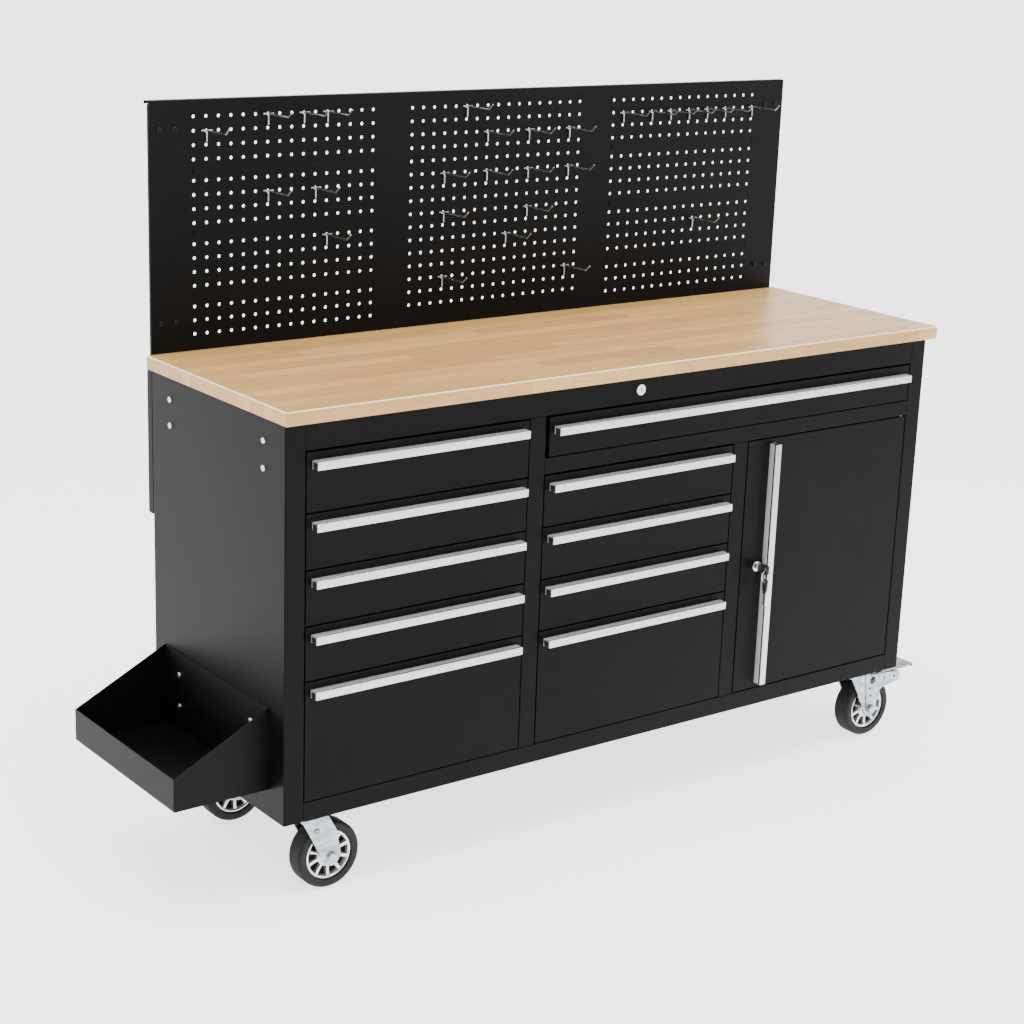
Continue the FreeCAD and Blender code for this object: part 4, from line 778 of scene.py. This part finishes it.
# Places on the forks: from the wheel's middle, or from the kingpin and down from the fork's top.
TRAIL = 34 * MM
FORK_FACE = 27 * MM
BRACKET_FACE = 29 * MM
RIVET_BEHIND_AXLE = 31 * MM
RIVET_HEIGHT = 120.5 * MM
KNOB_AHEAD = 33 * MM
KNOB_DOWN = 15 * MM
FORK_TOP_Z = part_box("caster_fork_front_right")[1].z
BRACKET_RIVETS = ((27, 33, 1.0), (31, 50, 1.0), (100, 18, 0.95), (70, 16, 0.95))
SMALL_RIVET = [(2.9, 0.02), (2.9, 0.3), (2.6, 0.45), (1.9, 0.5), (1.3, 0.8), (0.5, 0.9)]
KNOB = [
    (10.5, 0.02), (10.5, 1.0), (9.9, 1.5), (9.0, 1.5), (8.6, 1.1), (8.0, 2.2), (6.0, 3.4), (3.0, 4.0),
    (0.6, 4.1),
]
RIVET = [
    (5.2, 0.02), (5.2, 0.5), (4.9, 0.75), (3.9, 0.8), (3.5, 0.5), (3.2, 0.5), (2.9, 0.9), (2.2, 1.35),
    (1.2, 1.5), (0.3, 1.55),
]
for row in ("front", "rear"):
    for hand in ("left", "right"):
        label = row + "_" + hand
        node = "caster_wheel_" + label
        low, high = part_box(node)
        centre = (low + high) / 2
        tyre_piece = tyre(centre, label)
        finish_piece(tyre_piece, node, [node])
        finish_piece(rim(centre, label), node, [])
        if hand == "left":
            for side_name, side in (("near", -1), ("far", 1)):
                spot = Vector((centre.x - RIVET_BEHIND_AXLE, centre.y + side * FORK_FACE, RIVET_HEIGHT))
                rivet = button(spot, side, RIVET, "fork_rivet_" + label + "_" + side_name, rivet_finish)
                finish_piece(rivet, "caster_fork_" + label, [])
        else:
            kingpin_x = centre.x - TRAIL
            for side_name, side in (("near", -1), ("far", 1)):
                plate_y = centre.y + side * BRACKET_FACE
                for number, (x, z, size) in enumerate(BRACKET_RIVETS):
                    spot = Vector((kingpin_x + x * MM, plate_y, FORK_TOP_Z - z * MM))
                    profile = [(r * size, h * size) for r, h in SMALL_RIVET]
                    name = "bracket_rivet_%s_%s_%d" % (label, side_name, number)
                    piece = button(spot, side, profile, name, knob_finish, 24)
                    finish_piece(piece, "caster_fork_" + label, [])
                spot = Vector((kingpin_x + KNOB_AHEAD, plate_y, FORK_TOP_Z - KNOB_DOWN))
                knob = button(spot, side, KNOB, "bracket_knob_" + label + "_" + side_name, knob_finish)
                finish_piece(knob, "caster_fork_" + label, [])


# ---- finishes on the frame's own parts --------------------------------------------------------------

for name, node in nodes.items():
    slots = node.material_slots
    if name in OWN_FINISHES:
        slots[0].material = OWN_FINISHES[name].material
    elif slots and slots[0].material:
        kind = slots[0].material.name.split(".")[0]
        if kind in FINISHES:
            slots[0].material = FINISHES[kind].material


# ---- floor and light --------------------------------------------------------------------------------

def floor_sheet():
    """A wide pale floor that turns up behind the bench in a quarter circle: one profile along x."""
    reach, turn, rise = 9.0, 2.5, 9.0
    bend = np.linspace(0, math.pi / 2, 24)
    y = np.concatenate([[-14.0], reach + turn * np.sin(bend), [reach + turn]])
    z = np.concatenate([[0.0], turn - turn * np.cos(bend), [rise]])
    x = np.array([-28.0, 28.0])
    points = np.stack(np.broadcast_arrays(x[:, None], y[None], z[None]), -1)
    mesh = bpy.data.meshes.new("studio_floor")
    first = np.arange(len(y) - 1)
    quads = np.stack([first, first + len(y), first + 1 + len(y), first + 1], -1)
    mesh.from_pydata(points.reshape(-1, 3).tolist(), [], quads.tolist())
    mesh.polygons.foreach_set("use_smooth", np.ones(len(mesh.polygons), bool))
    constants = {"Specular IOR Level": 0.1, "Emission Color": grey(1.0), "Emission Strength": 1.9}
    made = Finish("pale_floor", constants)
    cloud = made.noise(made.place, 1.5, 2.0)
    made.set({"Base Color": made.mix(cloud, grey(0.9), grey(0.93)), "Roughness": 0.85 + 0.1 * cloud})
    mesh.materials.append(made.material)
    sheet = bpy.data.objects.new("studio_floor", mesh)
    bpy.context.scene.collection.objects.link(sheet)


def softbox(name, place, target, width, height, power):
    """A flat rectangular lamp that faces a target."""
    data = bpy.data.lights.new(name, "AREA")
    data.shape = "RECTANGLE"
    data.size = width
    data.size_y = height
    data.energy = power
    lamp = bpy.data.objects.new(name, data)
    lamp.location = place
    lamp.rotation_euler = (Vector(target) - Vector(place)).to_track_quat("-Z", "Y").to_euler()
    bpy.context.scene.collection.objects.link(lamp)


floor_sheet()
softbox("overhead", (-0.3, -0.6, 4.2), (0, 0, 0.6), 4.0, 3.0, 255)
softbox("left_side", (-4.2, -0.6, 2.0), (0, 0, 0.7), 2.6, 2.6, 26)
softbox("front", (-0.6, -5.4, 2.4), (0, 0, 0.6), 3.6, 2.4, 100)
softbox("right_side", (4.4, -1.5, 2.2), (0, 0, 0.7), 2.2, 2.6, 45)

world = bpy.data.worlds.new("studio_air")
world.use_nodes = True
world.node_tree.nodes["Background"].inputs["Color"].default_value = (1.0, 1.0, 1.0, 1.0)
world.node_tree.nodes["Background"].inputs["Strength"].default_value = 0.8
bpy.context.scene.world = world
